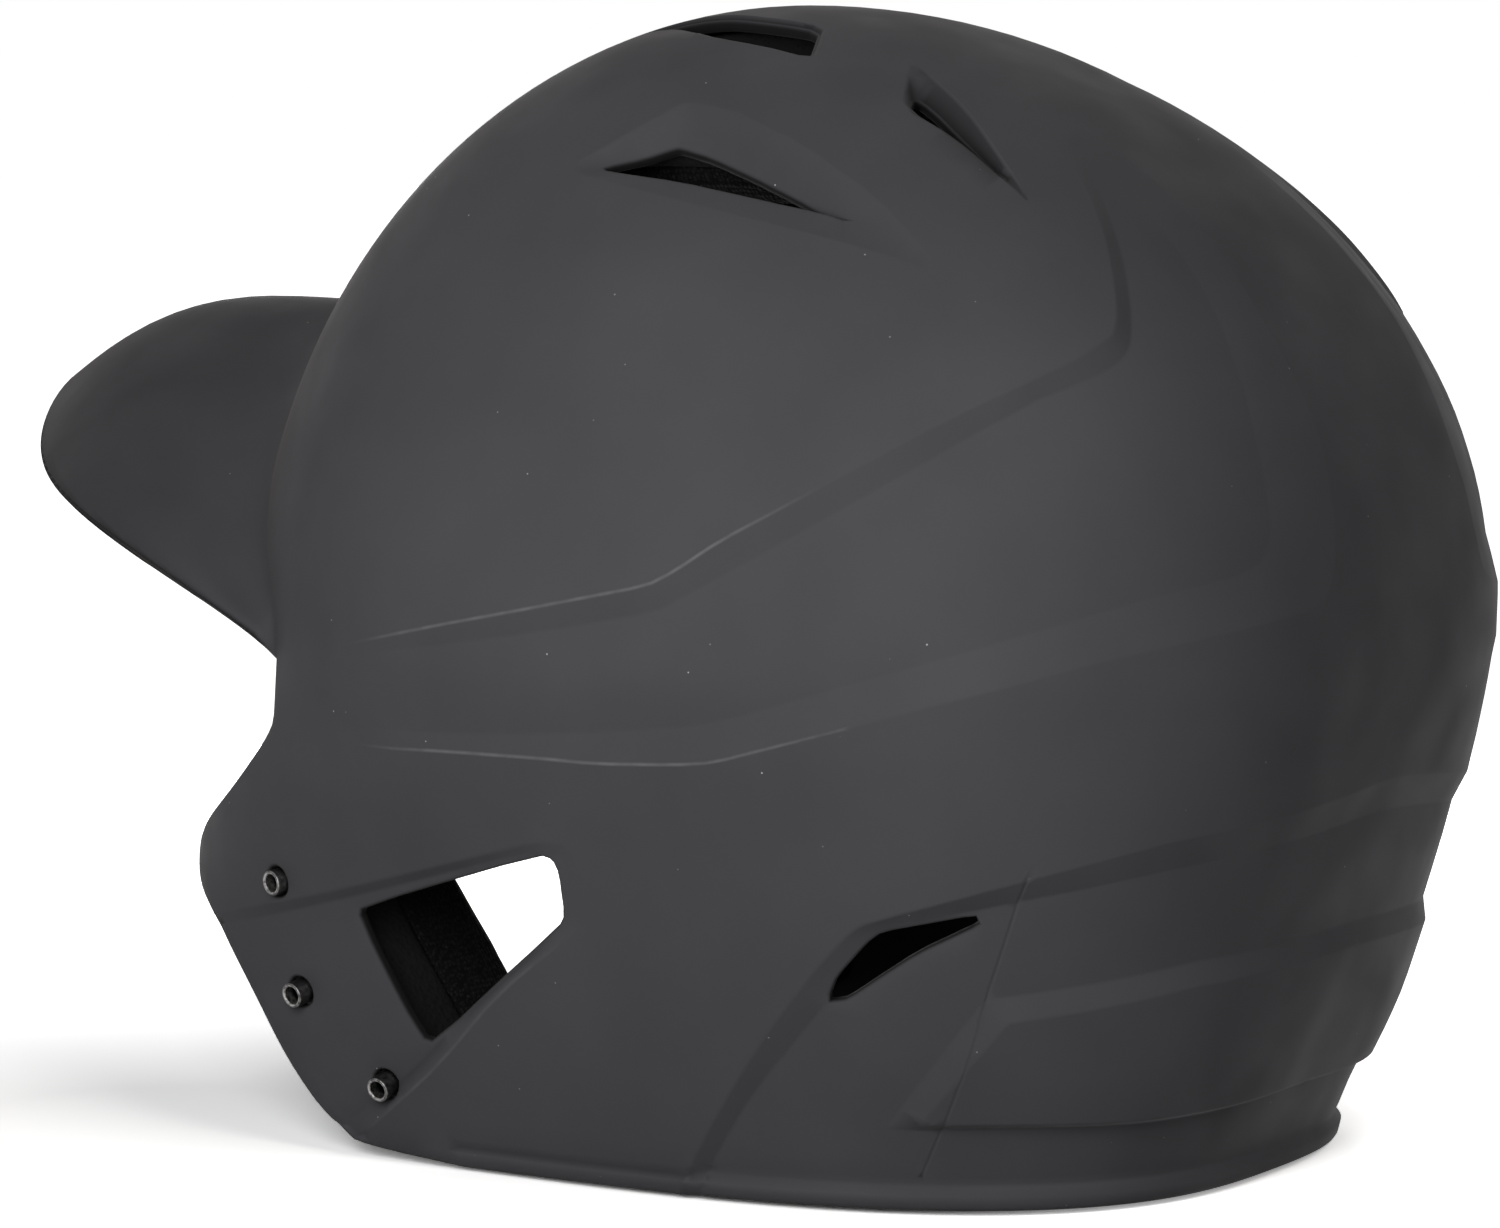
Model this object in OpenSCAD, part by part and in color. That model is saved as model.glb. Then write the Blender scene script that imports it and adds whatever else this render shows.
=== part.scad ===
// Batting helmet with two ear flaps, a bill, guard tee-nuts and a padded liner.
// Units are mm. +Z is up, +X is the wearer's left, the bill points to -Y.
// The rim rests on z = 0 and the origin is below the middle of the overall box.

/* [Dome] */
// Half the width of the shell at its widest level
half_width = 106; // [85:0.5:130]
// Dome axis to the front of the dome at its widest level
front_reach = 111; // [90:0.5:135]
// Dome axis to the back of the dome at its widest level
rear_reach = 132.5; // [105:0.5:160]
// Height of the top of the dome above the rim
dome_height = 223; // [180:0.5:270]
// Height of the widest level above the rim
widest_height = 100; // [80:0.5:122]
// Wall of the moulded shell
wall = 3.2; // [2:0.1:5]
// Depth of the side channels and of the low step round the back
relief = 1.4; // [0.5:0.1:2]

/* [Dome shape] */
// Share of the half width lost at the rim
side_taper = 0.25; // [0.05:0.01:0.3]
// Share of the rear reach lost at the rim
rear_taper = 0.21; // [0.05:0.01:0.3]
// Share of the front reach gained at the rim, which carries the cheeks forward
cheek_flare = 0.05; // [0:0.01:0.1]
// Plan exponent at the sides, where 2 is an ellipse
plan_exponent = 2.37; // [2:0.01:3]
// Change of the plan exponent from the sides to the back
rear_exponent = 0.4; // [0:0.05:0.8]
// Change of the plan exponent at the front of the rim, which squares the cheeks
cheek_exponent = 4.5; // [0:0.1:6]

/* [Bill] */
// Angle of the temple corner forward of the side
temple_angle = 38; // [30:1:45]
// Height of the temple corner
temple_height = 97; // [85:1:110]
// Height at which the bill leaves the dome in the middle
brow_height = 164; // [140:1:175]
// Temple corner to the tip of the bill, level
bill_reach = 107; // [80:1:130]
// Height of the middle of the bill's edge
tip_height = 148; // [120:0.5:160]
// Rise of the bill's top above a straight line from brow to edge
bill_arch = 7; // [0:0.5:15]
// Size of the blend between dome and bill in the middle
brow_blend = 12; // [4:0.5:18]

/* [Guard tee-nuts] */
// Outer diameter of the threaded barrel
barrel_d = 5; // [4:0.1:7]
// Bore of the barrel, ready for an M4 thread
bore_d = 3.4; // [2.5:0.1:4.5]
// Length by which the barrel stands out of the shell
barrel_proud = 1.6; // [0.5:0.1:3]
// Diameter of the flange inside the shell
flange_d = 12; // [9:0.5:16]
// Thickness of the flange
flange_t = 1.2; // [0.8:0.1:2]
// Diameter of the clearance hole in the shell
nut_hole_d = 6.1; // [5:0.1:9]

/* [Liner] */
// Firm foam of the brow, crown, back and side pads
base_foam = 8; // [4:0.5:12]
// Soft foam of the brow, crown, back and side pads
soft_foam = 9; // [4:0.5:12]
// Firm foam of the jaw pads
jaw_base_foam = 13; // [6:0.5:18]
// Soft foam of the jaw pads
jaw_soft_foam = 14; // [6:0.5:18]
// Clearance between a pad and what it lies on
seat_gap = 0.3; // [0.1:0.1:0.8]

/* [Hidden] */
$fn = 48;
columns = 68;
upper_rings = 12;
lower_rings = 6;
rim_spare = 0.04;
taper_power = 1.2;
root_depth = 0.4;
bill_end = 86;
bill_step = 8.6;
bill_steps = 6;
blend_steps = 3;
pad_sides = 20;
pad_corner = 4;
facet_room = half_width / 212;
cut_reach = 90;
shell_colour = [0.20, 0.20, 0.21];
metal_colour = [0.10, 0.10, 0.10];
foam_colour = [0.32, 0.32, 0.34];
fabric_colour = [0.12, 0.12, 0.13];

// A place on the dome is an angle th in plan, 0 at the left side and 90 at the back, and a level v,
// 0 at the top, 1 at the widest level and 2 at the rim.
function level(z) = z >= widest_height
    ? acos((z - widest_height) / (dome_height - widest_height)) / 90
    : 2 - z / widest_height;
// Radius in plan at angle th, at depth d below the widest level
function plan_radius(th, d) =
    let (t = pow(d, taper_power))
    let (w = half_width * (1 - side_taper * t))
    let (rear = rear_reach * (1 - rear_taper * t))
    let (front = front_reach * (1 + cheek_flare * t))
    let (l = sin(th) > 0 ? rear : front)
    let (m = plan_exponent + rear_exponent * sin(th) + cheek_exponent * d * pow(min(sin(th), 0), 2))
    pow(pow(abs(cos(th)) / w, m) + pow(abs(sin(th)) / l, m), -1 / m);
// Point of the outer face
function dome_at(th, v) =
    let (r = (v < 1 ? sin(90 * v) : 1) * plan_radius(th, max(0, v - 1)))
    let (z = v < 1 ? widest_height + (dome_height - widest_height) * cos(90 * v) : widest_height * (2 - v))
    [r * cos(th), r * sin(th), z];
// Outward normal there
function dome_normal(th, v) =
    let (across = dome_at(th + 0.5, v) - dome_at(th - 0.5, v))
    let (down = dome_at(th, v + 0.005) - dome_at(th, v - 0.005))
    let (n = cross(down, across))
    n / norm(n);
// Point g inside the outer face
function face_at(th, v, g) = dome_at(th, v) - g * dome_normal(th, v);
// The same above a plan point x, y
function crown_at(x, y, g) = face_at(atan2(y, x), asin(norm([x, y]) / plan_radius(atan2(y, x), 0)) / 90, g);

// The dome's axis is moved along Y so that the overall box is centred
temple = dome_at(-temple_angle, level(temple_height));
axis_y = (bill_reach - temple.y - rear_reach) / 2;

// Ring i of the dome, counted down from the top to just below the rim
function ring_level(i) = i <= upper_rings ? i / upper_rings : 1 + (i - upper_rings) * (1 + rim_spare) / lower_rings;
function dome_ring(i, g) = [for (j = [0 : columns - 1]) face_at(360 * j / columns, ring_level(i), g)];

// Closed solid through a list of closed rings, with a middle point at each end
module skin(rows, first, last) {
    n = len(rows[0]);
    count = len(rows);
    points = concat([first], [for (row = rows) each row], [last]);
    sides = [for (i = [0 : count - 2], j = [0 : n - 1], half = [0, 1])
        let (a = 1 + i * n + j, b = 1 + i * n + (j + 1) % n)
        half == 0 ? [a, b, b + n] : [a, b + n, a + n]];
    first_cap = [for (j = [0 : n - 1]) [0, 1 + (j + 1) % n, 1 + j]];
    base = 1 + (count - 1) * n;
    last_cap = [for (j = [0 : n - 1]) [base + j, base + (j + 1) % n, base + n]];
    polyhedron(points, concat(first_cap, sides, last_cap));
}

module both_sides() {
    for (s = [0, 1])
        mirror([s, 0, 0]) children();
}

// Dome without its openings, from g0 to g1 inside the outer face
module bowl(g0, g1) {
    rings = upper_rings + lower_rings;
    outer = [for (i = [1 : rings]) dome_ring(i, g0)];
    inner = [for (i = [rings : -1 : 1]) dome_ring(i, g1)];
    skin(concat(outer, inner), [0, 0, dome_height - g0], [0, 0, dome_height - g1]);
}

// Line where the bill leaves the dome, from one temple (-90) over the brow (0) to the other (90)
function bill_root(a, up = 0) =
    let (th = -90 + (90 - temple_angle) * a / 90)
    face_at(th, level(temple_height + (brow_height - temple_height) * pow(cos(a), 1.1) + up), root_depth);
// Edge of the bill, with a low ridge in the middle
function bill_edge(a) = [
    temple.x * sin(a),
    temple.y - bill_reach * cos(a),
    temple_height + (tip_height - temple_height) * (0.75 * pow(cos(a), 0.77) + 0.25 * pow(cos(a), 10))];
function bill_normal(a) = [sin(a), 0, cos(a)];
// Top of the bill between its root (0) and its edge (1)
function bill_top(a, v) =
    bill_root(a) * (1 - v) + bill_edge(a) * v
        + bill_normal(a) * bill_arch * sin(180 * pow(v, 1.5)) * sqrt(cos(a));
function bill_row(a) =
    let (blend = brow_blend * sqrt(cos(a)))
    let (v0 = min(0.4, blend / norm(bill_edge(a) - bill_root(a))))
    let (low = bill_root(a), high = bill_root(a, blend), out = bill_top(a, v0))
    let (curve = [for (s = [0 : blend_steps - 1]) let (t = s / blend_steps)
        high * pow(1 - t, 2) + low * 2 * t * (1 - t) + out * t * t])
    let (top = concat(curve, [for (s = [0 : bill_steps]) bill_top(a, v0 + (1 - v0) * s / bill_steps)]))
    let (under = concat([for (s = [1 : blend_steps]) low],
        [for (s = [0 : bill_steps]) bill_top(a, v0 + (1 - v0) * s / bill_steps)]))
    let (drop = wall * bill_normal(a))
    concat([for (s = [0 : len(under) - 1]) under[s] - drop - [0, 0, 0.02 * (blend_steps - min(s, blend_steps))]],
        [for (s = [len(top) - 1 : -1 : 0]) top[s]]);
module bill() {
    rows = [for (a = [-bill_end : bill_step : bill_end]) bill_row(a)];
    ends = len(rows) - 1;
    sides = len(rows[0]);
    mid = [for (i = [0, ends]) [for (k = [0 : 2]) sum_of(rows[i], k) / sides]];
    skin(rows, mid[0], mid[1]);
}
function sum_of(row, k, i = 0) = i == len(row) ? 0 : row[i][k] + sum_of(row, k, i + 1);

// Face opening seen from the side: the jaw's edge from the rim to the temple, then the brow
jaw_edge = [[-46, -1], [-53, 2], [-59, 5.5], [-64, 10], [-70, 18], [-78, 32], [-88, 45],
    [-96.5, 51], [-98.5, 56], [-97, 60.5], [-82, 70.5], [-70, 81], [-67, 85], [-67, 96]];
module face_opening() {
    brow = [for (a = [84 : -7 : 0]) let (p = bill_root(a)) [p.y, p.z - 0.6 * wall]];
    front = temple.y - bill_reach;
    outline = concat(jaw_edge, brow, [[front, brow_height - 0.6 * wall], [front, -1]]);
    translate([-2 * half_width, 0, 0])
        rotate([90, 0, 90]) linear_extrude(4 * half_width) polygon(outline);
}

// Ear hole seen from the side
ear_outline = [[-46, 50.5], [0.5, 65], [3.2, 64.5], [4.3, 62], [4, 54], [2, 51.3], [-33, 25], [-36, 25.5],
    [-47, 48.5]];
module ear_hole() {
    translate([half_width / 2, 0, 0])
        rotate([90, 0, 90]) linear_extrude(cut_reach) polygon(ear_outline);
}

// Vents in the top, seen from above, and the low vent behind the ear, seen along its own normal
top_vent = [[21, -27], [29, -14], [33, -3], [38, 9], [42, 24], [29, 19], [23, 6], [19.5, -9]];
side_vent = [[70, -3], [64, 8], [66, 26], [71, 50], [74, 52], [74.5, 25]];
rear_vent = [[33, 43], [45, 63], [54, 80], [52.5, 75], [47.5, 50]];
low_vent = [[-12, 42], [-4.5, 54.5], [11, 58.5], [11, 55.5], [-10, 41.5]];
low_vent_angle = 39.5;
module vents() {
    for (outline = [top_vent, side_vent, rear_vent])
        translate([0, 0, (widest_height + dome_height) / 2])
            linear_extrude(dome_height) polygon(outline);
    rotate([90, 0, 90 + low_vent_angle])
        linear_extrude(2 * cut_reach) polygon(low_vent);
}

// Relief seen from the side: the channel from temple to crown, the low step and the band on it
channel = [[-15, 107], [8, 110], [30, 115], [42, 124], [80, 149], [99.5, 159], [97.5, 167], [90, 183], [80, 194],
    [87, 194], [101, 178], [109, 166], [118, 151], [123.5, 137], [126.5, 125], [127, 116], [119, 113],
    [104, 108.5], [65, 94], [54, 90], [40, 86], [16, 84.5], [-17, 84]];
low_step = [[25, 4], [35, 20.5], [46, 34.5], [56, 45], [65, 55], [92, 63], [107, 67.5], [123, 72], [150, 75],
    [150, 4]];
low_band = [[64, 17], [84, 40.5], [112, 48], [150, 50], [150, 18], [99, 16.5], [84, 16.7]];
module relief_cut() {
    intersection() {
        bowl(-relief, relief);
        rotate([90, 0, 90]) linear_extrude(2 * half_width) union() {
            polygon(channel);
            difference() {
                polygon(low_step);
                polygon(low_band);
            }
        }
    }
}

// Tee-nuts for a face guard: angle forward of the side and height of each
nut_places = [[-37.6, 54], [-37.5, 32], [-29.4, 15]];
module at_nuts() {
    for (place = nut_places) {
        n = dome_normal(place[0], level(place[1]));
        translate(dome_at(place[0], level(place[1])))
            rotate([0, acos(n.z), atan2(n.y, n.x)]) children();
    }
}
nut_depth = wall + seat_gap + facet_room + flange_t;
nut_length = nut_depth + barrel_proud;
module tee_nut() {
    translate([0, 0, -nut_depth])
        difference() {
            union() {
                cylinder(d = flange_d, h = flange_t);
                cylinder(d = barrel_d, h = nut_length);
            }
            translate([0, 0, -1]) cylinder(d = bore_d, h = nut_length + 2);
        }
}

module below_rim() {
    translate([-2 * half_width, -2 * rear_reach, -half_width])
        cube([4 * half_width, 4 * rear_reach, half_width]);
}

// The faceted walls, joined and cut as one mesh
module moulding() resize([0, 0, 0])
    difference() {
        union() {
            difference() {
                bowl(0, wall);
                face_opening();
            }
            bill();
        }
        both_sides() relief_cut();
        below_rim();
        both_sides() ear_hole();
        both_sides() vents();
    }
module shell() color(shell_colour) translate([0, axis_y, 0])
    difference() {
        moulding();
        both_sides() at_nuts() translate([0, 0, -2 * wall]) cylinder(d = nut_hole_d, h = 4 * wall);
    }

module left_guard_nuts() color(metal_colour) translate([0, axis_y, 0]) at_nuts() tee_nut();
module right_guard_nuts() color(metal_colour) mirror([1, 0, 0]) left_guard_nuts();

// Pads: middle angle, half span in degrees, lowest and highest level, lean in degrees over the height
brow_pad = [-90, 36, 166, 203, 0];
occiput_pad = [90, 28, 136, 186, 0];
back_pad = [90, 32, 36, 116, 0];
side_pad = [2, 27, 108, 168, 0];
temple_pad = [-43, 11, 112, 164, -8];
flank_pad = [46, 11, 76, 150, 0];
ear_pad = [-3, 24, 71, 102, 0];
nape_pad = [19, 10, 8, 62, 0];
jaw_pad = [-35.5, 7.5, 12, 60, -12];
// Crown pads: middle and half span in X and Y, seen from above
crown_pad = [0, 17, 18, 48];
ridge_pad = [52.5, 8, 0, 40];

function corner(c) = sign(c) * pow(abs(c), 2 / pad_corner);
function pad_point(pad, u, w, g) = len(pad) == 4
    ? crown_at(pad[0] + pad[1] * u, pad[2] + pad[3] * w, g)
    : face_at(pad[0] + pad[1] * u + pad[4] * w / 2,
        (level(pad[3]) * (1 + w) + level(pad[2]) * (1 - w)) / 2, g);
function pad_ring(pad, size, g) = [for (i = [0 : pad_sides - 1])
    let (al = 360 * i / pad_sides)
    pad_point(pad, size * corner(cos(al)), size * corner(sin(al)), g)];
// Layer of a pad from depth g0 to g1. Its inner face is drawn in at the edge by drop. The rings of
// two faces that meet are alike, so that they lie parallel.
module pad_layer(pad, outer, inner, g0, g1, drop) {
    far = [for (s = outer) pad_ring(pad, s, g0)];
    edge = [pad_ring(pad, outer[len(outer) - 1], g1 - drop)];
    near = [for (i = [len(inner) - 1 : -1 : 0]) pad_ring(pad, inner[i], g1)];
    translate([0, axis_y, 0])
        skin(concat(far, edge, near), pad_point(pad, 0, 0, g0), pad_point(pad, 0, 0, g1));
}
meeting = [0.42, 0.75, 0.94];
module firm(pad, lift, t) color(foam_colour)
    pad_layer(pad, [0.45, 0.8, 1], meeting, pad_seat + lift, pad_seat + lift + t, 0.15 * t);
module soft(pad, lift, t, t_soft) color(fabric_colour)
    pad_layer(pad, meeting, [0.45, 0.8], pad_seat + lift + t + layer_gap, pad_seat + lift + t + layer_gap + t_soft,
        0.5 * t_soft);
// Pads clear the facets of the shell's inner face too
pad_seat = wall + seat_gap + facet_room;
layer_gap = seat_gap + facet_room / 2;
jaw_lift = seat_gap + flange_t;

module brow_base() firm(brow_pad, 0, base_foam);
module brow_comfort() soft(brow_pad, 0, base_foam, soft_foam);
module crown_base() firm(crown_pad, 0, base_foam);
module crown_comfort() soft(crown_pad, 0, base_foam, soft_foam);
module occiput_base() firm(occiput_pad, 0, base_foam);
module occiput_comfort() soft(occiput_pad, 0, base_foam, soft_foam);
module back_base() firm(back_pad, 0, base_foam);
module back_comfort() soft(back_pad, 0, base_foam, soft_foam);
module left_side_base() firm(side_pad, 0, base_foam);
module left_side_comfort() soft(side_pad, 0, base_foam, soft_foam);
module right_side_base() mirror([1, 0, 0]) left_side_base();
module right_side_comfort() mirror([1, 0, 0]) left_side_comfort();
module left_ridge_base() firm(ridge_pad, 0, base_foam);
module left_ridge_comfort() soft(ridge_pad, 0, base_foam, soft_foam);
module right_ridge_base() mirror([1, 0, 0]) left_ridge_base();
module right_ridge_comfort() mirror([1, 0, 0]) left_ridge_comfort();
module left_temple_base() firm(temple_pad, 0, base_foam);
module left_temple_comfort() soft(temple_pad, 0, base_foam, soft_foam);
module right_temple_base() mirror([1, 0, 0]) left_temple_base();
module right_temple_comfort() mirror([1, 0, 0]) left_temple_comfort();
module left_flank_base() firm(flank_pad, 0, base_foam);
module left_flank_comfort() soft(flank_pad, 0, base_foam, soft_foam);
module right_flank_base() mirror([1, 0, 0]) left_flank_base();
module right_flank_comfort() mirror([1, 0, 0]) left_flank_comfort();
module left_ear_base() firm(ear_pad, 0, base_foam);
module left_ear_comfort() soft(ear_pad, 0, base_foam, soft_foam);
module right_ear_base() mirror([1, 0, 0]) left_ear_base();
module right_ear_comfort() mirror([1, 0, 0]) left_ear_comfort();
module left_nape_base() firm(nape_pad, 0, base_foam);
module left_nape_comfort() soft(nape_pad, 0, base_foam, soft_foam);
module right_nape_base() mirror([1, 0, 0]) left_nape_base();
module right_nape_comfort() mirror([1, 0, 0]) left_nape_comfort();
module left_jaw_base() firm(jaw_pad, jaw_lift, jaw_base_foam);
module left_jaw_comfort() soft(jaw_pad, jaw_lift, jaw_base_foam, jaw_soft_foam);
module right_jaw_base() mirror([1, 0, 0]) left_jaw_base();
module right_jaw_comfort() mirror([1, 0, 0]) left_jaw_comfort();

shell();
left_guard_nuts();
right_guard_nuts();
brow_base();
brow_comfort();
crown_base();
crown_comfort();
occiput_base();
occiput_comfort();
back_base();
back_comfort();
left_side_base();
left_side_comfort();
right_side_base();
right_side_comfort();
left_ridge_base();
left_ridge_comfort();
right_ridge_base();
right_ridge_comfort();
left_temple_base();
left_temple_comfort();
right_temple_base();
right_temple_comfort();
left_flank_base();
left_flank_comfort();
right_flank_base();
right_flank_comfort();
left_ear_base();
left_ear_comfort();
right_ear_base();
right_ear_comfort();
left_nape_base();
left_nape_comfort();
right_nape_base();
right_nape_comfort();
left_jaw_base();
left_jaw_comfort();
right_jaw_base();
right_jaw_comfort();
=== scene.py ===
import bpy
import math
import numpy as np
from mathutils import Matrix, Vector
from mathutils.geometry import delaunay_2d_cdt
from mathutils.kdtree import KDTree


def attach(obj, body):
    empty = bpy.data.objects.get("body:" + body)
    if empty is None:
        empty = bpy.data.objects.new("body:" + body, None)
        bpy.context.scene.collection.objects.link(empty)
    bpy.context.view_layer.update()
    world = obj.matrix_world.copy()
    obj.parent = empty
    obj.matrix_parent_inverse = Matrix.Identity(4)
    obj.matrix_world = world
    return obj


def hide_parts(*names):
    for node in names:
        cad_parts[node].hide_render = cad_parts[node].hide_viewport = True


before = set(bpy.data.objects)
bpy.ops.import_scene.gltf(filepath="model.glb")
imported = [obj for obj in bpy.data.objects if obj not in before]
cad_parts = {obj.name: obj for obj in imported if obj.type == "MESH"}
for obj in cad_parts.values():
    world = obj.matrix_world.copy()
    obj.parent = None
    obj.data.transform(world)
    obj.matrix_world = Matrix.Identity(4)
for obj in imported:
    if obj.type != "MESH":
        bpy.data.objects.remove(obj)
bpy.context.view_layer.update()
scene = bpy.context.scene

# Dome: the same formula and sizes, in millimetres, as the CAD shell
HALF_WIDTH, FRONT, REAR, TOP, WIDEST = 106.0, 111.0, 132.5, 223.0, 100.0
TEMPLE_TH, TEMPLE_Z, BROW_Z = -38.0, 97.0, 164.0
BILL_REACH, TIP_Z, WALL = 107.0, 148.0, 3.2
SIDE_TAPER, REAR_TAPER, CHEEK_FLARE, TAPER_POWER = 0.25, 0.21, 0.05, 1.2
PLAN_EXPONENT, REAR_EXPONENT, CHEEK_EXPONENT = 2.37, 0.4, 4.5


def sin_cos(degrees):
    return np.sin(np.radians(degrees)), np.cos(np.radians(degrees))


def plan_angle(p):
    return np.degrees(np.arctan2(p[..., 1], p[..., 0]))


def plan_radius(th, d):
    """Radius in plan at an angle, at depth d below the widest level."""
    t = d ** TAPER_POWER
    s, c = sin_cos(th)
    length = np.where(s > 0, REAR * (1 - REAR_TAPER * t), FRONT * (1 + CHEEK_FLARE * t))
    m = PLAN_EXPONENT + REAR_EXPONENT * s + CHEEK_EXPONENT * d * np.minimum(s, 0) ** 2
    return ((np.abs(c) / (HALF_WIDTH * (1 - SIDE_TAPER * t))) ** m + (np.abs(s) / length) ** m) ** (-1 / m)


def level(z):
    """0 at the top, 1 at the widest height and 2 at the rim."""
    z = np.asarray(z, float)
    up = np.arccos(np.clip((z - WIDEST) / (TOP - WIDEST), -1, 1)) / (np.pi / 2)
    return np.where(z >= WIDEST, up, 2 - z / WIDEST)


def height(v):
    return np.where(v < 1, WIDEST + (TOP - WIDEST) * np.cos(np.pi / 2 * v), WIDEST * (2 - v))


def ring_radius(th, v):
    return np.where(v < 1, np.sin(np.pi / 2 * np.minimum(v, 1)), 1) * plan_radius(th, np.maximum(0, v - 1))


def dome_at(th, v):
    th, v = np.broadcast_arrays(np.asarray(th, float), np.asarray(v, float))
    r = ring_radius(th, v)
    return np.stack([r * np.cos(np.radians(th)), r * np.sin(np.radians(th)), height(v)], -1)


def dome_normal(th, v):
    v = np.maximum(v, 0.01)
    n = np.cross(dome_at(th, v + 0.005) - dome_at(th, v - 0.005), dome_at(th + 0.5, v) - dome_at(th - 0.5, v))
    return n / np.linalg.norm(n, axis=-1, keepdims=True)


def face_at(th, v, g):
    """Point of the dome, g further in."""
    return dome_at(th, v) - np.asarray(g)[..., None] * dome_normal(th, v)


TEMPLE = dome_at(TEMPLE_TH, level(TEMPLE_Z))
AXIS_Y = (BILL_REACH - TEMPLE[1] - REAR) / 2


def to_metres(p):
    return (np.asarray(p, float) + [0, AXIS_Y, 0]) * 1e-3


# Flat map of the dome, nearly true to angles, in which the shell is triangulated: levels and their distances
# from the map's middle
MAP_FIRST, MAP_LAST, MAP_STEPS, MAP_WIDEST = 0.004, 2.12, 1200, 115
all_round = np.linspace(0, 360, 73)[:-1]
map_v = np.linspace(MAP_FIRST, MAP_LAST, MAP_STEPS)
mean_r = ring_radius(all_round[None], map_v[:, None]).mean(1)
map_steps = np.hypot(np.diff(mean_r), np.diff(height(map_v)))
map_rho = np.exp(np.concatenate([[0], np.cumsum(map_steps / (0.5 * (mean_r[1:] + mean_r[:-1])))]))
map_rho *= MAP_WIDEST / np.interp(1.0, map_v, map_rho)
map_v, map_rho = np.concatenate([[0], map_v]), np.concatenate([[0], map_rho])


def to_map(th, v):
    rho = np.interp(v, map_v, map_rho)
    return np.stack([rho * np.cos(np.radians(th)), rho * np.sin(np.radians(th))], -1)


def from_map(p):
    v = np.interp(np.hypot(p[..., 0], p[..., 1]), map_rho, map_v)
    return plan_angle(p), v


def map_scale(p):
    """Size on the map of one millimetre."""
    th, v = from_map(p)
    return np.maximum(np.hypot(p[..., 0], p[..., 1]), 0.5) / np.maximum(ring_radius(th, v), 0.5)


def solid(p):
    """Points of the dome for points of the map."""
    return dome_at(*from_map(np.asarray(p, float)))


# Outlines: by angle and height, from above (x, y) or from the side (y, z)
SIDE_ANGLES = np.linspace(-92, 40, 1200)
LINE_STEP = 1.2


def by_angle(a):
    return to_map(a[:, 0], level(a[:, 1]))


def place_above(x, y):
    """Angle and level of the dome's point above a place in plan."""
    th = np.degrees(np.arctan2(y, x))
    return th, np.arcsin(np.hypot(x, y) / plan_radius(th, 0.0)) / (np.pi / 2)


def from_above(a):
    return to_map(*place_above(a[:, 0], a[:, 1]))


def from_side(a):
    v = level(a[:, 1])
    th = [np.interp(y, dome_at(SIDE_ANGLES, at)[:, 1], SIDE_ANGLES) for y, at in zip(a[:, 0], v)]
    return to_map(np.array(th), v)


def rounded(p, closed, times=2, cut=0.2):
    """Cuts the corners of a line, which keeps its straight runs."""
    p = np.asarray(p, float)
    for _ in range(times):
        q = np.roll(p, -1, 0) if closed else p[1:]
        a = p if closed else p[:-1]
        new = np.stack([a * (1 - cut) + q * cut, a * cut + q * (1 - cut)], 1).reshape(-1, p.shape[1])
        p = new if closed else np.concatenate([p[:1], new[1:-1], p[-1:]])
    return p


def drawn(points, how=by_angle, closed=True, soft=1, cut=0.2):
    """An outline with its corners cut, in short steps on the map, with any further columns kept."""
    p = rounded(np.array(points, float), closed, soft, cut)
    q = np.concatenate([p, p[:1]]) if closed else p
    out = []
    for a, b in zip(q[:-1], q[1:]):
        n = max(1, int(math.ceil(np.linalg.norm((b - a)[:2]) / LINE_STEP)))
        out += [a + (b - a) * k / n for k in range(n)]
    out = np.array(out if closed else out + [q[-1]])
    return np.concatenate([how(out[:, :2]), out[:, 2:]], 1)


def thin(p, closed, least):
    """Drops points closer than least to the one before."""
    s = solid(p[:, :2])
    keep = [0]
    for i in range(1, len(p)):
        if np.linalg.norm(s[i] - s[keep[-1]]) >= least:
            keep.append(i)
    if not closed and keep[-1] != len(p) - 1:
        keep[-1] = len(p) - 1
    if closed and np.linalg.norm(s[keep[-1]] - s[0]) < least:
        keep.pop()
    return p[keep]


def inside(p, poly):
    """Which points lie inside a closed line."""
    x, y = p[:, 0][:, None], p[:, 1][:, None]
    a, b = poly, np.roll(poly, -1, 0)
    cross = (a[:, 1] > y) != (b[:, 1] > y)
    dy = np.where(b[:, 1] == a[:, 1], 1e-12, b[:, 1] - a[:, 1])
    return (cross & (x < (b[:, 0] - a[:, 0]) * (y - a[:, 1]) / dy + a[:, 0])).sum(1) % 2 == 1


CHUNK = 2000


def distance(p, line, closed=True):
    """Distances of points to a line, worked out in chunks."""
    a = line if closed else line[:-1]
    b = np.roll(line, -1, 0) if closed else line[1:]
    best = np.full(len(p), 1e9)
    for i in range(0, len(p), CHUNK):
        d = p[i:i + CHUNK, None] - a[None]
        e = (b - a)[None]
        t = np.clip((d * e).sum(-1) / np.maximum((e * e).sum(-1), 1e-12), 0, 1)
        best[i:i + CHUNK] = np.linalg.norm(d - t[..., None] * e, axis=-1).min(1)
    return best


# Relief of the left half. Each recess has an outer outline, at the dome's level, and an inner outline with a
# depth at each point. A negative depth raises the surface.
def recess(outer, inner, how=by_angle, soft=1):
    return {"outer": drawn(outer, how, True, soft), "inner": drawn(inner, how, True, soft)}


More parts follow.
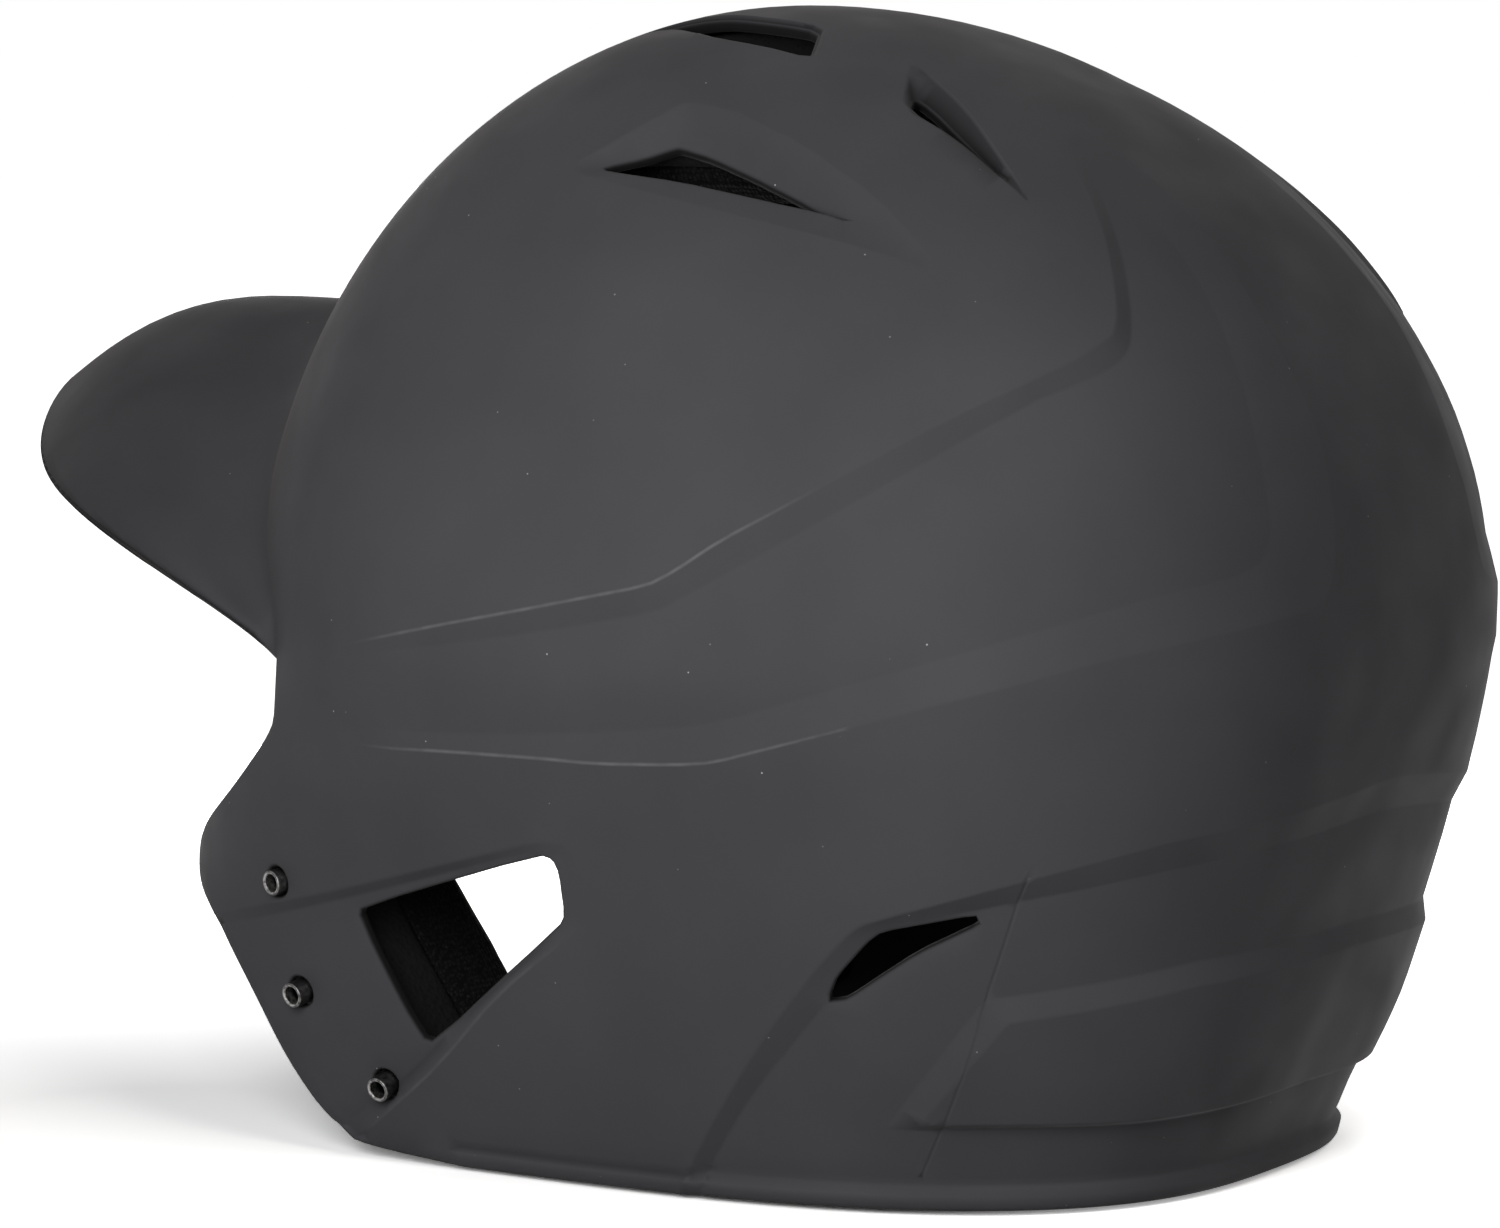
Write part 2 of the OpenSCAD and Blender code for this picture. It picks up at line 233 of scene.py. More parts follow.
panel_edge = [(-24, 102), (-16.1, 105.1), (-8.3, 108.2), (-0.2, 111.2), (7, 114), (15.1, 117.2),
              (17.9, 119.9), (22.5, 125.7), (28.3, 131.7), (43.7, 148.1), (58.3, 160.7), (59.8, 165.5),
              (60.8, 171.9), (62.8, 183), (63.8, 192.2), (65, 197)]
rear_edge = [(72, 200), (75, 190), (76.3, 175.4), (76.3, 165.5), (77.2, 153), (77.8, 139.4), (76.9, 123.8),
             (76, 117.2), (74.5, 112.9), (66.4, 110.4), (58.9, 107.6), (52.4, 104.6)]
low_edge = [(33.7, 92.6), (28.3, 89.3), (21.8, 85.5), (18, 84.7), (8.8, 83.9), (2.6, 84.2), (-9.4, 84.1),
            (-18.5, 83.5), (-25, 84)]
valley_foot = [(-22, 101, 0), (-11.1, 103.6, 0.9), (-3, 106, 1.4), (6.7, 109.1, 1.7), (15.5, 112.5, 1.9),
               (18.3, 115.1, 1.93), (28.3, 126, 2.1), (49.5, 150.2, 2.1), (57.6, 156, 1.65),
               (60.3, 159.9, 1.58), (61.6, 166.2, 1.45), (63.4, 176.6, 1.19), (65, 186.6, 0.73),
               (66.5, 194, 0.2), (69, 195, 0.13), (69.9, 187.9, 0.59), (70.9, 177.8, 1.12),
               (71.3, 167.2, 1.45), (70.6, 149, 1.65), (70.1, 135.8, 1.65), (70.1, 127, 1.65),
               (68.1, 120.5, 1.65), (59.2, 117, 1.65), (52.5, 113.1, 2.1), (34, 100.5, 1.93),
               (22, 92.2, 1.68), (10, 89.5, 1.5), (0, 88.2, 1.2), (-10, 87.2, 0.8), (-22, 87, 0)]
valley = recess(panel_edge + rear_edge + low_edge, valley_foot)

step_edge = [(130, 78.2), (90, 78.2), (84.2, 77.5), (72.1, 74.7), (61.7, 72.3), (57.4, 70.2), (49.7, 65.7),
             (37.5, 57.5), (35.3, 55.8), (32, 48.2), (27.9, 37.9), (21.2, 20.6), (14.5, 3.4), (11.5, -8)]
step_foot = [(130, 71.5, 1.55), (90, 71.5, 1.55), (84, 70.8, 1.55), (72, 68.6, 1.55), (61.7, 66.2, 1.55),
             (58.1, 64.8, 1.55), (49.1, 60.8, 2.04), (40, 56, 2.04), (37.2, 53.2, 2.04), (34, 43.5, 1.94),
             (28.6, 30.9, 1.86), (24, 20.9, 1.77), (17.5, 4.5, 1.67), (14.5, -8, 1.67)]
low_step = recess(step_edge + [(130, -8)], step_foot + [(130, -8, 1.55)])

band_out = [(130, 50), (90, 50), (78.7, 49.5), (66.1, 48.2), (47.4, 42.2), (39.0, 15.8), (51.7, 16.6),
            (63.5, 16.2), (78, 16.8), (90, 17.6), (130, 17.6)]
band_in = [(130, 46, -1.8), (90, 46, -1.8), (78.7, 45.6, -1.8), (66.1, 44.2, -1.8), (49.6, 38.6, -1.8),
           (42.6, 17.8, -1.6), (51.7, 18.2, -1.8), (63.5, 17.9, -1.8), (78, 18.4, -1.8), (90, 19.2, -1.8),
           (130, 19.2, -1.8)]
band = recess(band_out, band_in, soft=0)

pocket_crest = [(2.5, 49.6), (-8.8, 36.9), (-20, 21.5), (-29.4, 10.3), (-34, 4.6)]
pocket_foot = [(1.3, 51.6, 0.68), (-10, 39.2, 1.49), (-21, 24, 1.62), (-30.4, 12.6, 1.49), (-35.4, 7, 0.9)]
pocket_out = [(-70, 36), (-51.5, 43.6), (-36.5, 50.7), (-26.2, 55.5), (-8.3, 64), (0.6, 68.1), (4.5, 68),
              (5.5, 60), (4.8, 52), *pocket_crest, (-44, -6), (-75, -6)]
pocket_in = [(-70, 33.5, 0), (-51, 41.3, 0.1), (-43, 45.2, 0.7), (-36, 48.6, 1.5), (-25.8, 53.5, 1.62),
             (-8.2, 62, 1.35), (0.4, 66, 0.68), (3.4, 65.2, 0.2), (3.9, 60, 0.14), (3.4, 53.4, 0.27),
             *pocket_foot, (-45, -4, 0.1), (-58, -5, 0), (-74, -5, 0), (-74, 14, 0), (-60, 24, 0.1)]
pocket = recess(pocket_out, pocket_in)

side_scoop = recess(
    [(-9.5, 191.7), (-4.8, 195.3), (0.1, 199.6), (5.4, 203.8), (7.4, 204.3), (12.3, 203.5), (18.8, 202.1),
     (30.6, 196.1), (39.2, 187.1), (45, 173), (37.7, 177.4), (28.6, 181.4), (14.5, 185.7), (4.1, 188.3)],
    [(-3.4, 193.0, 1.6), (0.7, 196.6, 4.4), (5.2, 199.1, 5.0), (6.6, 199.2, 5.0), (12.9, 198.0, 5.8),
     (20.9, 194.7, 6.2), (27.7, 190.5, 5.8), (32.2, 186.3, 4.8), (36.6, 182.9, 1.4), (32.5, 184.8, 1.0),
     (22.4, 187.7, 1.0), (11.7, 190.3, 1.0), (-2.3, 192.2, 1.0)])
rear_scoop = recess(
    [(33.0, 42.2), (41, 45.7), (48.2, 49.0), (50.1, 61.6), (52.5, 72.3), (54.6, 80.8), (48.7, 70.3),
     (40.5, 57.6), (34.2, 45.5)],
    [(38.6, 46.4, 4.0), (47.0, 50.0, 0.8), (49.4, 61.6, 0.4), (51.9, 71.6, 0.5), (51.8, 73.4, 1.0),
     (49.8, 69.2, 3.0), (44.6, 59.2, 4.2), (39.6, 50.2, 4.4)], how=from_above)
top_scoop = recess(
    [(18.5, -30), (26.8, -14.0), (33.7, -2.7), (36.5, 6.3), (41.2, 25.4), (34.3, 22.6), (26.4, 19.2),
     (22.8, 5.5), (18.0, -8.5), (16.5, -21)],
    [(19.2, -26.5, 0.6), (26.0, -13.6, 0.5), (32.8, -2.2, 0.5), (35.6, 6.8, 0.5), (39.6, 23.4, 0.7),
     (34.6, 21.3, 0.8), (27.4, 18.2, 0.8), (23.9, 5.2, 0.8), (19.2, -8.8, 0.8), (17.7, -21, 0.7)],
    how=from_above)
RECESSES = [valley, low_step, band, pocket, side_scoop, rear_scoop, top_scoop]

low_hole = drawn([(36.4, 52.2), (37.6, 54.2), (45.8, 58.0), (46.2, 56.4), (41, 50.6), (34.6, 41.2),
                  (32.6, 40.4), (33.6, 45.4)], cut=0.12)
ear_hole = drawn([(-46, 50.5), (0.5, 65), (3.2, 64.5), (4.3, 62), (4, 54), (2, 51.3), (-33, 25), (-36, 25.5),
                  (-47, 48.5)], from_side)
NUTS = [(-37.6, 54.0), (-37.5, 32.0), (-29.4, 15.0)]
NUT_HOLE, NUT_HOLE_SIDES = 3.05, 20


def turned_about(th, z, count):
    """A point of the dome, the normal there and directions all round it."""
    v = float(level(z))
    c, n = dome_at(th, v), dome_normal(th, v)
    e = np.cross([0, 0, 1], n)
    e /= np.linalg.norm(e)
    f = np.cross(n, e)
    a = np.arange(count) * 2 * np.pi / count
    return c, n, np.cos(a)[:, None] * e + np.sin(a)[:, None] * f


def ring_on_dome(th, z, radius, count):
    c, _, ring = turned_about(th, z, count)
    p = c + radius * ring
    return to_map(plan_angle(p), level(p[:, 2]))


# Groove along the seam: line, depth and half width
SEAM = drawn([(49.7, 66.2), (48.7, 54.5), (47.4, 41.7), (46.8, 33.2), (44.8, 17.2), (43.1, 6.4)],
             closed=False)
SEAM_DEPTH, SEAM_HALF = 0.25, 0.24
# Bead along the rim: heights, how far each stands out behind the ear and in front of it, and the angles of
# the change
BEAD_Z = [0.0, 2.2, 3.4, 4.2, 5.0, 6.4]
BEAD_REAR = [1.5, 1.5, 1.4, 0.0, -0.2, 0.0]
BEAD_FRONT = [0.0, 0.0, 0.0, -0.8, -0.3, 0.0]
BEAD_FROM, BEAD_SPAN = 13, 4

# Fullness of the back: heights, how far each stands out from the dome, and the angles over which it rises
FULL_Z = [0, 8, 16, 24, 32, 48, 64, 80, 96, 104, 112, 129, 145, 161, 177, 193, 209, 223]
FULL_OUT = [-0.6, -0.9, 0, 1.1, 1.7, 1.5, 1.3, 0.7, 0, 0.4, 1.0, 1.8, 2.1, 1.8, 0.9, -0.4, -1.1, 0]
FULL_FROM, FULL_SPAN = 20, 40


def relief(p):
    """Depth of the surface below the dome at points of the map."""
    h = np.zeros(len(p))
    for r in RECESSES:
        o, i = r["outer"], r["inner"]
        ids = np.nonzero(inside(p, o))[0]
        if not len(ids):
            continue
        q = p[ids]
        within = inside(q, i[:, :2])
        do, di = distance(q, o), distance(q, i[:, :2])
        ratio = np.where(within, 1, do / np.maximum(do + di, 1e-9))
        w = 1 / (((q[:, None] - i[None, :, :2]) ** 2).sum(-1) + 1e-3) ** 1.5
        h[ids] += ratio * (w * i[:, 2]).sum(1) / w.sum(1)
    h += SEAM_DEPTH * np.clip(1 - distance(p, SEAM, False) / map_scale(p) / SEAM_HALF, 0, 1)
    th, v = from_map(p)
    rear = np.clip((th - BEAD_FROM) / BEAD_SPAN, 0, 1)
    z = height(v)
    back = np.clip((th - FULL_FROM) / FULL_SPAN, 0, 1)
    h -= back * back * (3 - 2 * back) * np.interp(z, FULL_Z, FULL_OUT)
    return h - rear * np.interp(z, BEAD_Z, BEAD_REAR) - (1 - rear) * np.interp(z, BEAD_Z, BEAD_FRONT)


# Bill, from the brow (a = 0) to the temple (a = 90)
BILL_ENDS = 87.0
BILL_COLUMNS, BLEND_ROWS, BILL_ROWS = 44, 7, 16
RIM_ROWS = [0.978, 0.986]
COLUMN_POWER, ROW_POWER = 1.25, 1.2
# Root: inset into the dome, lift at the temple and the powers of its fall from the brow and of the lift
ROOT_INSET, ROOT_LIFT, ROOT_POWER, LIFT_POWER = 0.4, 7.0, 1.35, 6
# Edge: how far out of the CAD's edge, and powers and shares of its plan and its rise
BILL_OUT, OUT_POWER, OUT_SIDE, EDGE_POWER = 1.2, 8, 0.8, 1.037
BROAD_SHARE, BROAD_POWER, RIDGE_SHARE, RIDGE_POWER = 0.756, 0.772, 0.244, 10
# Top: its rise above a straight line from root to edge
BILL_ARCH, ARCH_POWER = 8.0, 1.49
# Blend between dome and bill: angles and sizes, and its greatest share of the bill
BLEND = [0, 15, 30, 45, 60, 75, 87], [6, 8, 10.5, 12, 11.5, 9, 5]
BLEND_MOST = 0.4


def bill_root(a, up, inset):
    th = -90 + (90 + TEMPLE_TH) * a / 90
    s, c = sin_cos(a)
    z = TEMPLE_Z + (BROW_Z - TEMPLE_Z) * c ** ROOT_POWER + ROOT_LIFT * s ** LIFT_POWER + up
    return th, level(z), face_at(th, level(z), np.full(np.shape(a), inset))


def bill_edge(a):
    s, c = sin_cos(a)
    rise = BROAD_SHARE * c ** BROAD_POWER + RIDGE_SHARE * c ** RIDGE_POWER
    out = BILL_OUT * (1 - s ** OUT_POWER)
    return np.stack([TEMPLE[0] * s ** EDGE_POWER + OUT_SIDE * out * s,
                     TEMPLE[1] - BILL_REACH * c ** EDGE_POWER - out * c,
                     TEMPLE_Z + (TIP_Z - TEMPLE_Z) * rise], -1)


def bill_top(a, v):
    """Top of the bill between its root (v = 0) and its edge (v = 1)."""
    s, c = sin_cos(a)
    n = np.stack([s, 0 * s, c], -1)
    v = np.asarray(v)[..., None]
    return (bill_root(a, 0, ROOT_INSET)[2] * (1 - v) + bill_edge(a) * v
            + n * BILL_ARCH * np.sin(np.pi * v ** ARCH_POWER) * np.sqrt(c)[..., None])


bill_a = BILL_ENDS * (1 - (1 - np.linspace(0, 1, BILL_COLUMNS + 1)) ** COLUMN_POWER)
bill_blend = np.interp(bill_a, *BLEND)
root_th, root_v, bill_high = bill_root(bill_a, bill_blend, 0.0)
bill_low = bill_root(bill_a, 0, ROOT_INSET)[2]
bill_length = np.linalg.norm(bill_edge(bill_a) - bill_low, axis=1)
bill_start = np.minimum(BLEND_MOST, bill_blend / bill_length)
bill_out = bill_top(bill_a, bill_start)
bill_rows = []
for t in np.linspace(0, 1, BLEND_ROWS + 1)[:-1]:
    bill_rows.append(bill_high * (1 - t) ** 2 + bill_low * 2 * t * (1 - t) + bill_out * t * t)
for t in np.sort(np.append(1 - (1 - np.linspace(0, 1, BILL_ROWS + 1)) ** ROW_POWER, RIM_ROWS)):
    bill_rows.append(bill_top(bill_a, bill_start + (1 - bill_start) * t))
bill_rows = np.array(bill_rows)

# Edge of the left half of the dome in the map, and the holes
JAW = [(-30, 0), (-41, 0.9), (-50, 1.7), (-56, 2.6), (-59.6, 4.2), (-62.2, 6.4), (-65.6, 9.6), (-71.4, 17.4),
       (-79.3, 31.3), (-89, 44), (-97.6, 50.2), (-99.6, 56), (-98, 61), (-83, 71.3), (-71, 81.5),
       (-67.6, 85.5), (-67.6, 91)]
FRONT_STEPS, BACK_STEPS, RIM_STEPS = 32, 72, 120
# Least steps along the jaw, the holes, the outlines of the recesses and the seam
JAW_STEP, HOLE_STEP, RECESS_STEP, SEAM_STEP = 1.7, 0.8, 1.0, 1.2
temple_map = to_map(np.array(TEMPLE_TH), level(TEMPLE_Z))[None]
brow_map = to_map(root_th, root_v)
front_map = to_map(np.full(FRONT_STEPS, -90.0), np.linspace(0, root_v[0], FRONT_STEPS))
back_map = to_map(np.full(BACK_STEPS, 90.0), np.linspace(0, 2, BACK_STEPS))
jaw_map = thin(np.concatenate([drawn(JAW, from_side, False, 2), temple_map]), False, JAW_STEP)
jaw_th = from_map(jaw_map[:1])[0][0]
rim_th = np.linspace(90, jaw_th, RIM_STEPS)
rim_map = to_map(rim_th, np.full(RIM_STEPS, 2.0))
outline = np.concatenate([front_map[::-1][:-1], back_map[:-1], rim_map[:-1], jaw_map[:-1], temple_map,
                          brow_map[::-1][:-1]])
outline[np.abs(outline[:, 0]) < 1e-9, 0] = 0.0
free_edge = np.concatenate([rim_map[:-1], jaw_map[:-1], temple_map, brow_map[::-1]])
HOLED = (side_scoop, rear_scoop, top_scoop)
holes = [thin(h[:, :2], True, HOLE_STEP) for h in [ear_hole, low_hole] + [r["inner"] for r in HOLED]]
holes += [ring_on_dome(th, z, NUT_HOLE, NUT_HOLE_SIDES) for th, z in NUTS]

points, edges, extra = [], [], []


def add_line(p, closed):
    k = len(points)
    points.extend(p)
    n = len(p)
    edges.extend((k + i, k + (i + 1) % n) for i in range(n if closed else n - 1))


def beside(p, closed, off):
    """Points at both sides of a line, which keep its bend narrow."""
    t = (np.roll(p, -1, 0) - np.roll(p, 1, 0)) if closed else np.gradient(p, axis=0)
    t /= np.maximum(np.linalg.norm(t, axis=1, keepdims=True), 1e-9)
    n = np.stack([t[:, 1], -t[:, 0]], 1) * (off * map_scale(p))[:, None]
    return np.concatenate([p + n, p - n])


def within_half(p, margin, from_middle):
    """Which points lie clear of the edge, the holes and the middle plane."""
    ok = inside(p, outline) & (p[:, 0] > from_middle * map_scale(p))
    ok &= distance(p, free_edge, False) / map_scale(p) > margin
    for h in holes:
        ok &= ~inside(p, h) & (distance(p, h) / map_scale(p) > margin)
    return ok


# Half widths of the bends, and the least distances of their points from the edge, the middle plane, other
# points, lines and each other
BEND_HALF, SEAM_BEND = 0.42, 0.62
EDGE_CLEAR, BEND_MIDDLE, POINT_CLEAR, LINE_CLEAR, BEND_CLEAR = 1.0, 0.4, 0.3, 0.25, 0.35
# The same for lines, and how near to the middle plane a line is led on to it
LINE_MIDDLE, LED_ON = 0.3, 3
# Spacing of the grid, and least distances of its points from the edge, the middle plane and other points
GRID_STEP, GRID_EDGE, GRID_MIDDLE, GRID_CLEAR = 4.0, 2.6, 1.6, 1.9


def led_on(p):
    return abs(p[0]) < LED_ON and inside(p[None] + [LED_ON, 0], outline)[0]


def on_middle_plane(a, b):
    y = a[1] if abs(b[0] - a[0]) < 1e-9 else a[1] + (b[1] - a[1]) * (0 - a[0]) / (b[0] - a[0])
    return np.array([0.0, y])


def add_open(line):
    """Adds the runs of a line that lie clear of the edge and the holes, up to the middle plane."""
    ok = within_half(line, EDGE_CLEAR, LINE_MIDDLE)
    run = []
    for i in range(len(line) + 1):
        if i < len(line) and ok[i]:
            if not run and i and led_on(line[i - 1]):
                run.append(on_middle_plane(line[i - 1], line[i]))
            run.append(line[i])
        elif run:
            if i < len(line) and led_on(line[i]):
                run.append(on_middle_plane(line[i], run[-1]))
            if len(run) > 1:
                add_line(np.array(run), False)
            run = []


def closed_line(p):
    q = thin(p[:, :2], True, RECESS_STEP)
    return np.concatenate([q, q[:1]])


def tree_of(p):
    tree = KDTree(len(p))
    for i, q in enumerate(p):
        tree.insert(q, i)
    tree.balance()
    return tree


def nearest(p, others):
    """Distances of points of the map to the nearest of some others."""
    tree = tree_of(solid(others))
    return np.array([tree.find(q)[2] for q in solid(p)])


add_line(outline, True)
for h in holes:
    add_line(h, True)
lines = []
for r in RECESSES:
    lines.append(closed_line(r["outer"]))
    if not any(r is h for h in HOLED):
        lines.append(closed_line(r["inner"]))
for line in lines:
    add_open(line)
    extra.append(beside(line, False, BEND_HALF))
seam_line = thin(SEAM, False, SEAM_STEP)
extra.append(beside(seam_line, False, SEAM_BEND))
lines.append(seam_line)
add_open(seam_line)
for side in np.split(beside(seam_line, False, SEAM_HALF), 2):
    add_open(side)
for z in BEAD_Z[1:]:
    bead_line = to_map(rim_th, np.full(RIM_STEPS, level(z)))
    lines.append(bead_line)
    add_open(bead_line)
made = np.array(points)
extra = np.concatenate(extra)
extra = extra[within_half(extra, EDGE_CLEAR, BEND_MIDDLE)]
extra = extra[nearest(extra, made) > POINT_CLEAR]
line_gap = np.min([distance(extra, q, False) for q in lines], 0) / map_scale(extra)
extra = extra[line_gap > LINE_CLEAR]
kept, dropped = [], set()
extra_tree = tree_of(solid(extra))
for i, q in enumerate(solid(extra)):
    if i not in dropped:
        kept.append(i)
        dropped.update(j for _, j, _ in extra_tree.find_range(q, BEND_CLEAR) if j > i)
made = np.concatenate([made, extra[kept]])

# Even grid over the rest, in rings
SIDE_STEPS = 1200
rings = []
side_v = np.linspace(0, 2, SIDE_STEPS)
side_gaps = np.linalg.norm(np.diff(dome_at(np.zeros(SIDE_STEPS), side_v), axis=0), axis=1)
arc = np.concatenate([[0], np.cumsum(side_gaps)])
for k, s in enumerate(np.arange(GRID_STEP, arc[-1], GRID_STEP)):
    v = np.interp(s, arc, side_v)
    n = max(3, int(round(np.pi * ring_radius(all_round, v).mean() / GRID_STEP)))
    th = -90 + 180 * (np.arange(n) + (0.5 if k % 2 else 0.25)) / n
    rings.append(to_map(th, np.full(n, v)))
rings = np.concatenate(rings)
rings = rings[within_half(rings, GRID_EDGE, GRID_MIDDLE)]
rings = rings[nearest(rings, made) > GRID_CLEAR]
points = np.concatenate([made, rings])

co, _, tris, *_ = delaunay_2d_cdt([Vector(p) for p in points], edges, [], 0, 1e-5)
co = np.array([tuple(c) for c in co])
tris = np.array([t for t in tris if len(t) == 3])
middle = co[tris].mean(1)
ok = inside(middle, outline)
for h in holes:
    ok &= ~inside(middle, h)
tris = tris[ok]
a, b, c = (co[tris[:, i]] for i in range(3))
flip = np.cross(b - a, c - a) < 0
tris[flip] = tris[flip][:, ::-1]

# Outer and inner face, with at least THIN_WALL under a recess
THIN_WALL = 2.2
th, v = from_map(co)
deep = relief(co)
base, normal = dome_at(th, v), dome_normal(th, v)
outer = base - deep[:, None] * normal
inner = base - np.maximum(WALL, deep + THIN_WALL)[:, None] * normal
on_middle = np.abs(co[:, 0]) < 1e-6
outer[on_middle, 0] = inner[on_middle, 0] = 0.0

# Join the bill and mirror the half
rows, columns = bill_rows.shape[:2]
first = len(outer)
bill_points = bill_rows.reshape(-1, 3).copy()
bill_points[np.arange(rows) * columns, 0] = 0.0
bill_tris = []
for i in range(rows - 1):
    for j in range(columns - 1):
        p, q = first + i * columns + j, first + (i + 1) * columns + j
        bill_tris += [(p, q, q + 1), (p, q + 1, p + 1)]
tip = int(np.argmin(np.linalg.norm(outer - TEMPLE, axis=1)))
for i in range(rows - 1):
    p, q = first + i * columns + columns - 1, first + (i + 1) * columns + columns - 1
    bill_tris.append((p, q, tip))
half_points = np.concatenate([outer, bill_points])
half_tris = np.concatenate([tris, np.array(bill_tris)])
half_inner = np.concatenate([inner, np.full(bill_points.shape, np.nan)])


def merged(p, faces, least):
    """Faces with each point closer than least to an earlier one replaced by it."""
    tree = tree_of(p)
    target = np.arange(len(p))
    for i, q in enumerate(p):
        if target[i] == i:
            for _, j, _ in tree.find_range(q, least):
                if j > i and target[j] == j:
                    target[j] = i
    faces = target[faces]
    good = (faces[:, 0] != faces[:, 1]) & (faces[:, 1] != faces[:, 2]) & (faces[:, 2] != faces[:, 0])
    return faces[good]


n_half = len(half_points)
flip_x = np.array([-1.0, 1, 1])
MERGE_GAP = 0.12
full = np.concatenate([half_points, half_points * flip_x])
full_inner = np.concatenate([half_inner, half_inner * flip_x])
full_tris = np.concatenate([half_tris, half_tris[:, ::-1] + n_half])
full_tris = merged(full, full_tris, MERGE_GAP)
used = np.unique(full_tris)
number = np.full(len(full), -1)
number[used] = np.arange(len(used))
full, full_inner, full_tris = full[used], full_inner[used], number[full_tris]


def vertex_normals(p, t):
    n = np.cross(p[t[:, 1]] - p[t[:, 0]], p[t[:, 2]] - p[t[:, 0]])
    out = np.zeros_like(p)
    for i in range(3):
        np.add.at(out, t[:, i], n)
    return out / np.maximum(np.linalg.norm(out, axis=1, keepdims=True), 1e-12)


def boundary_loops(t):
    """Rings of points round the open edges of a mesh."""
    step = {}
    seen = {}
    for f in t:
        for i in range(3):
            seen[(f[i], f[(i + 1) % 3])] = True
    for x, y in seen:
        if (y, x) not in seen:
            step.setdefault(x, []).append(y)
    loops = []
    while step:
        start = next(iter(step))
        loop = [start]
        while True:
            following = step[loop[-1]]
            nxt = following.pop()
            if not following:
                del step[loop[-1]]
            if nxt == start:
                break
            loop.append(nxt)
        loops.append(np.array(loop))
    return loops


loops = boundary_loops(full_tris)
normals = vertex_normals(full, full_tris)
on_bill = np.isnan(full_inner[:, 0])
full_inner[on_bill] = full[on_bill] - WALL * normals[on_bill]


# Rounded walls along the edge and round each hole
EDGE_ROUND, HOLE_ROUND = 1.3, 0.7
ROUND_ANGLES = (30, 60, 90)
# Painted shade on the rings of the rounded walls, lightest next to the outer face
WALL_DARK = [0.3, 0.8, 1, 1, 1, 1]


def round_over(start, out, back, radius, angles):
    rings = []
    for ang in angles:
        s, c = math.sin(math.radians(ang)), math.cos(math.radians(ang))
        rings.append(start + out * radius * s + back * radius * (1 - c))
    return rings


longest = max(len(loop) for loop in loops)
solid_tris = [full_tris, full_tris[:, ::-1] + len(full)]
count = 2 * len(full)
moved, moved_inner = full.copy(), full_inner.copy()
walls, wall_dark = [], []
for loop in loops:
    e = EDGE_ROUND if len(loop) == longest else HOLE_ROUND
    p, q = full[loop], full_inner[loop]
    t = np.roll(p, -1, 0) - np.roll(p, 1, 0)
    t /= np.linalg.norm(t, axis=1, keepdims=True)
    d = p - q
    w = np.linalg.norm(d, axis=1, keepdims=True)
    d /= w
    out = np.cross(t, d)
    out /= np.linalg.norm(out, axis=1, keepdims=True)
    p0, q0 = p - out * e, q - out * e
    moved[loop], moved_inner[loop] = p0, q0
    ring = round_over(p0, out, -d, e, ROUND_ANGLES) + round_over(q0, out, d, e, ROUND_ANGLES[::-1])
    n = len(loop)
    strips = [loop] + [count + i * n + np.arange(n) for i in range(len(ring))] + [loop + len(full)]
    count += n * len(ring)
    walls.append(np.concatenate(ring))
    wall_dark.append(np.repeat(WALL_DARK, n))
    for x, y in zip(strips[:-1], strips[1:]):
        x1, y1 = np.roll(x, -1), np.roll(y, -1)
        solid_tris.append(np.stack([x, y, y1], 1))
        solid_tris.append(np.stack([x, y1, x1], 1))
solid_points = np.concatenate([moved, moved_inner] + walls)
solid_tris = np.concatenate(solid_tris)


def new_mesh(name, p, faces):
    me = bpy.data.meshes.new(name)
    me.from_pydata([tuple(q) for q in to_metres(p)], [], [tuple(int(i) for i in f) for f in faces])
    me.validate()
    me.update()
    me.polygons.foreach_set("use_smooth", [True] * len(me.polygons))
    ob = bpy.data.objects.new(name, me)
    scene.collection.objects.link(ob)
    return ob


shell = new_mesh("helmet_shell", solid_points, solid_tris)

# Painted highlight along the crests, for light caught by their rounded edges: the edges of the top panel and
# of the side ridge, fading towards the front and the back, and the lower edge of the ear pocket, with painted
# shade along its foot
outside = full.copy()
outside[:, 0] = np.abs(outside[:, 0])
angle = plan_angle(outside)
GAP_STEP, FAR_OFF = 0.125, 99.0


def gap_to(line, below=0.0):
    """Distance of the outer face's points to a line that lies below the dome."""
    c = solid(drawn(line, closed=False)[:, :2])
    at = np.arange(0, len(c) - 1, GAP_STEP)
    c = np.stack([np.interp(at, np.arange(len(c)), c[:, k]) for k in range(3)], 1)
    near = np.full(len(full), FAR_OFF)
    for k in range(0, len(full), CHUNK):
        near[k:k + CHUNK] = np.linalg.norm(outside[k:k + CHUNK, None] - c[None], axis=-1).min(1)
    return np.sqrt(np.maximum(0, near ** 2 - below ** 2))


RIDGE_FADE = [-22, -12, 22, 34, 50, 64], [0, 1, 1, 0.6, 0.35, 0.1]
POCKET_FADE = [-33, -26, -4, 2], [0.1, 0.4, 0.4, 0]
HIGHLIGHT_HALF = 0.4
FOOT_SHADE_BELOW, FOOT_SHADE_MOST, FOOT_SHADE_FADE = 1.4, 1.3, 0.8
BEAD_LINE_Z, BEAD_LINE_HALF, BEAD_LINE_DARK = 4.3, 0.7, 0.4
BEAD_FOOT_Z, BEAD_FOOT_FADE, BEAD_FOOT_DARK = 3, 2, 0.15
# Painted highlight: lighter along the crests, for light caught by their rounded edges
crest_highlight = np.zeros(len(solid_points))
for line, fade in ((panel_edge, RIDGE_FADE), (low_edge, RIDGE_FADE), (pocket_crest, POCKET_FADE)):
    line_highlight = np.interp(angle, *fade) * np.clip(1.0 - gap_to(line) / HIGHLIGHT_HALF, 0, 1)
    crest_highlight[:len(full)] = np.maximum(crest_highlight[:len(full)], line_highlight)
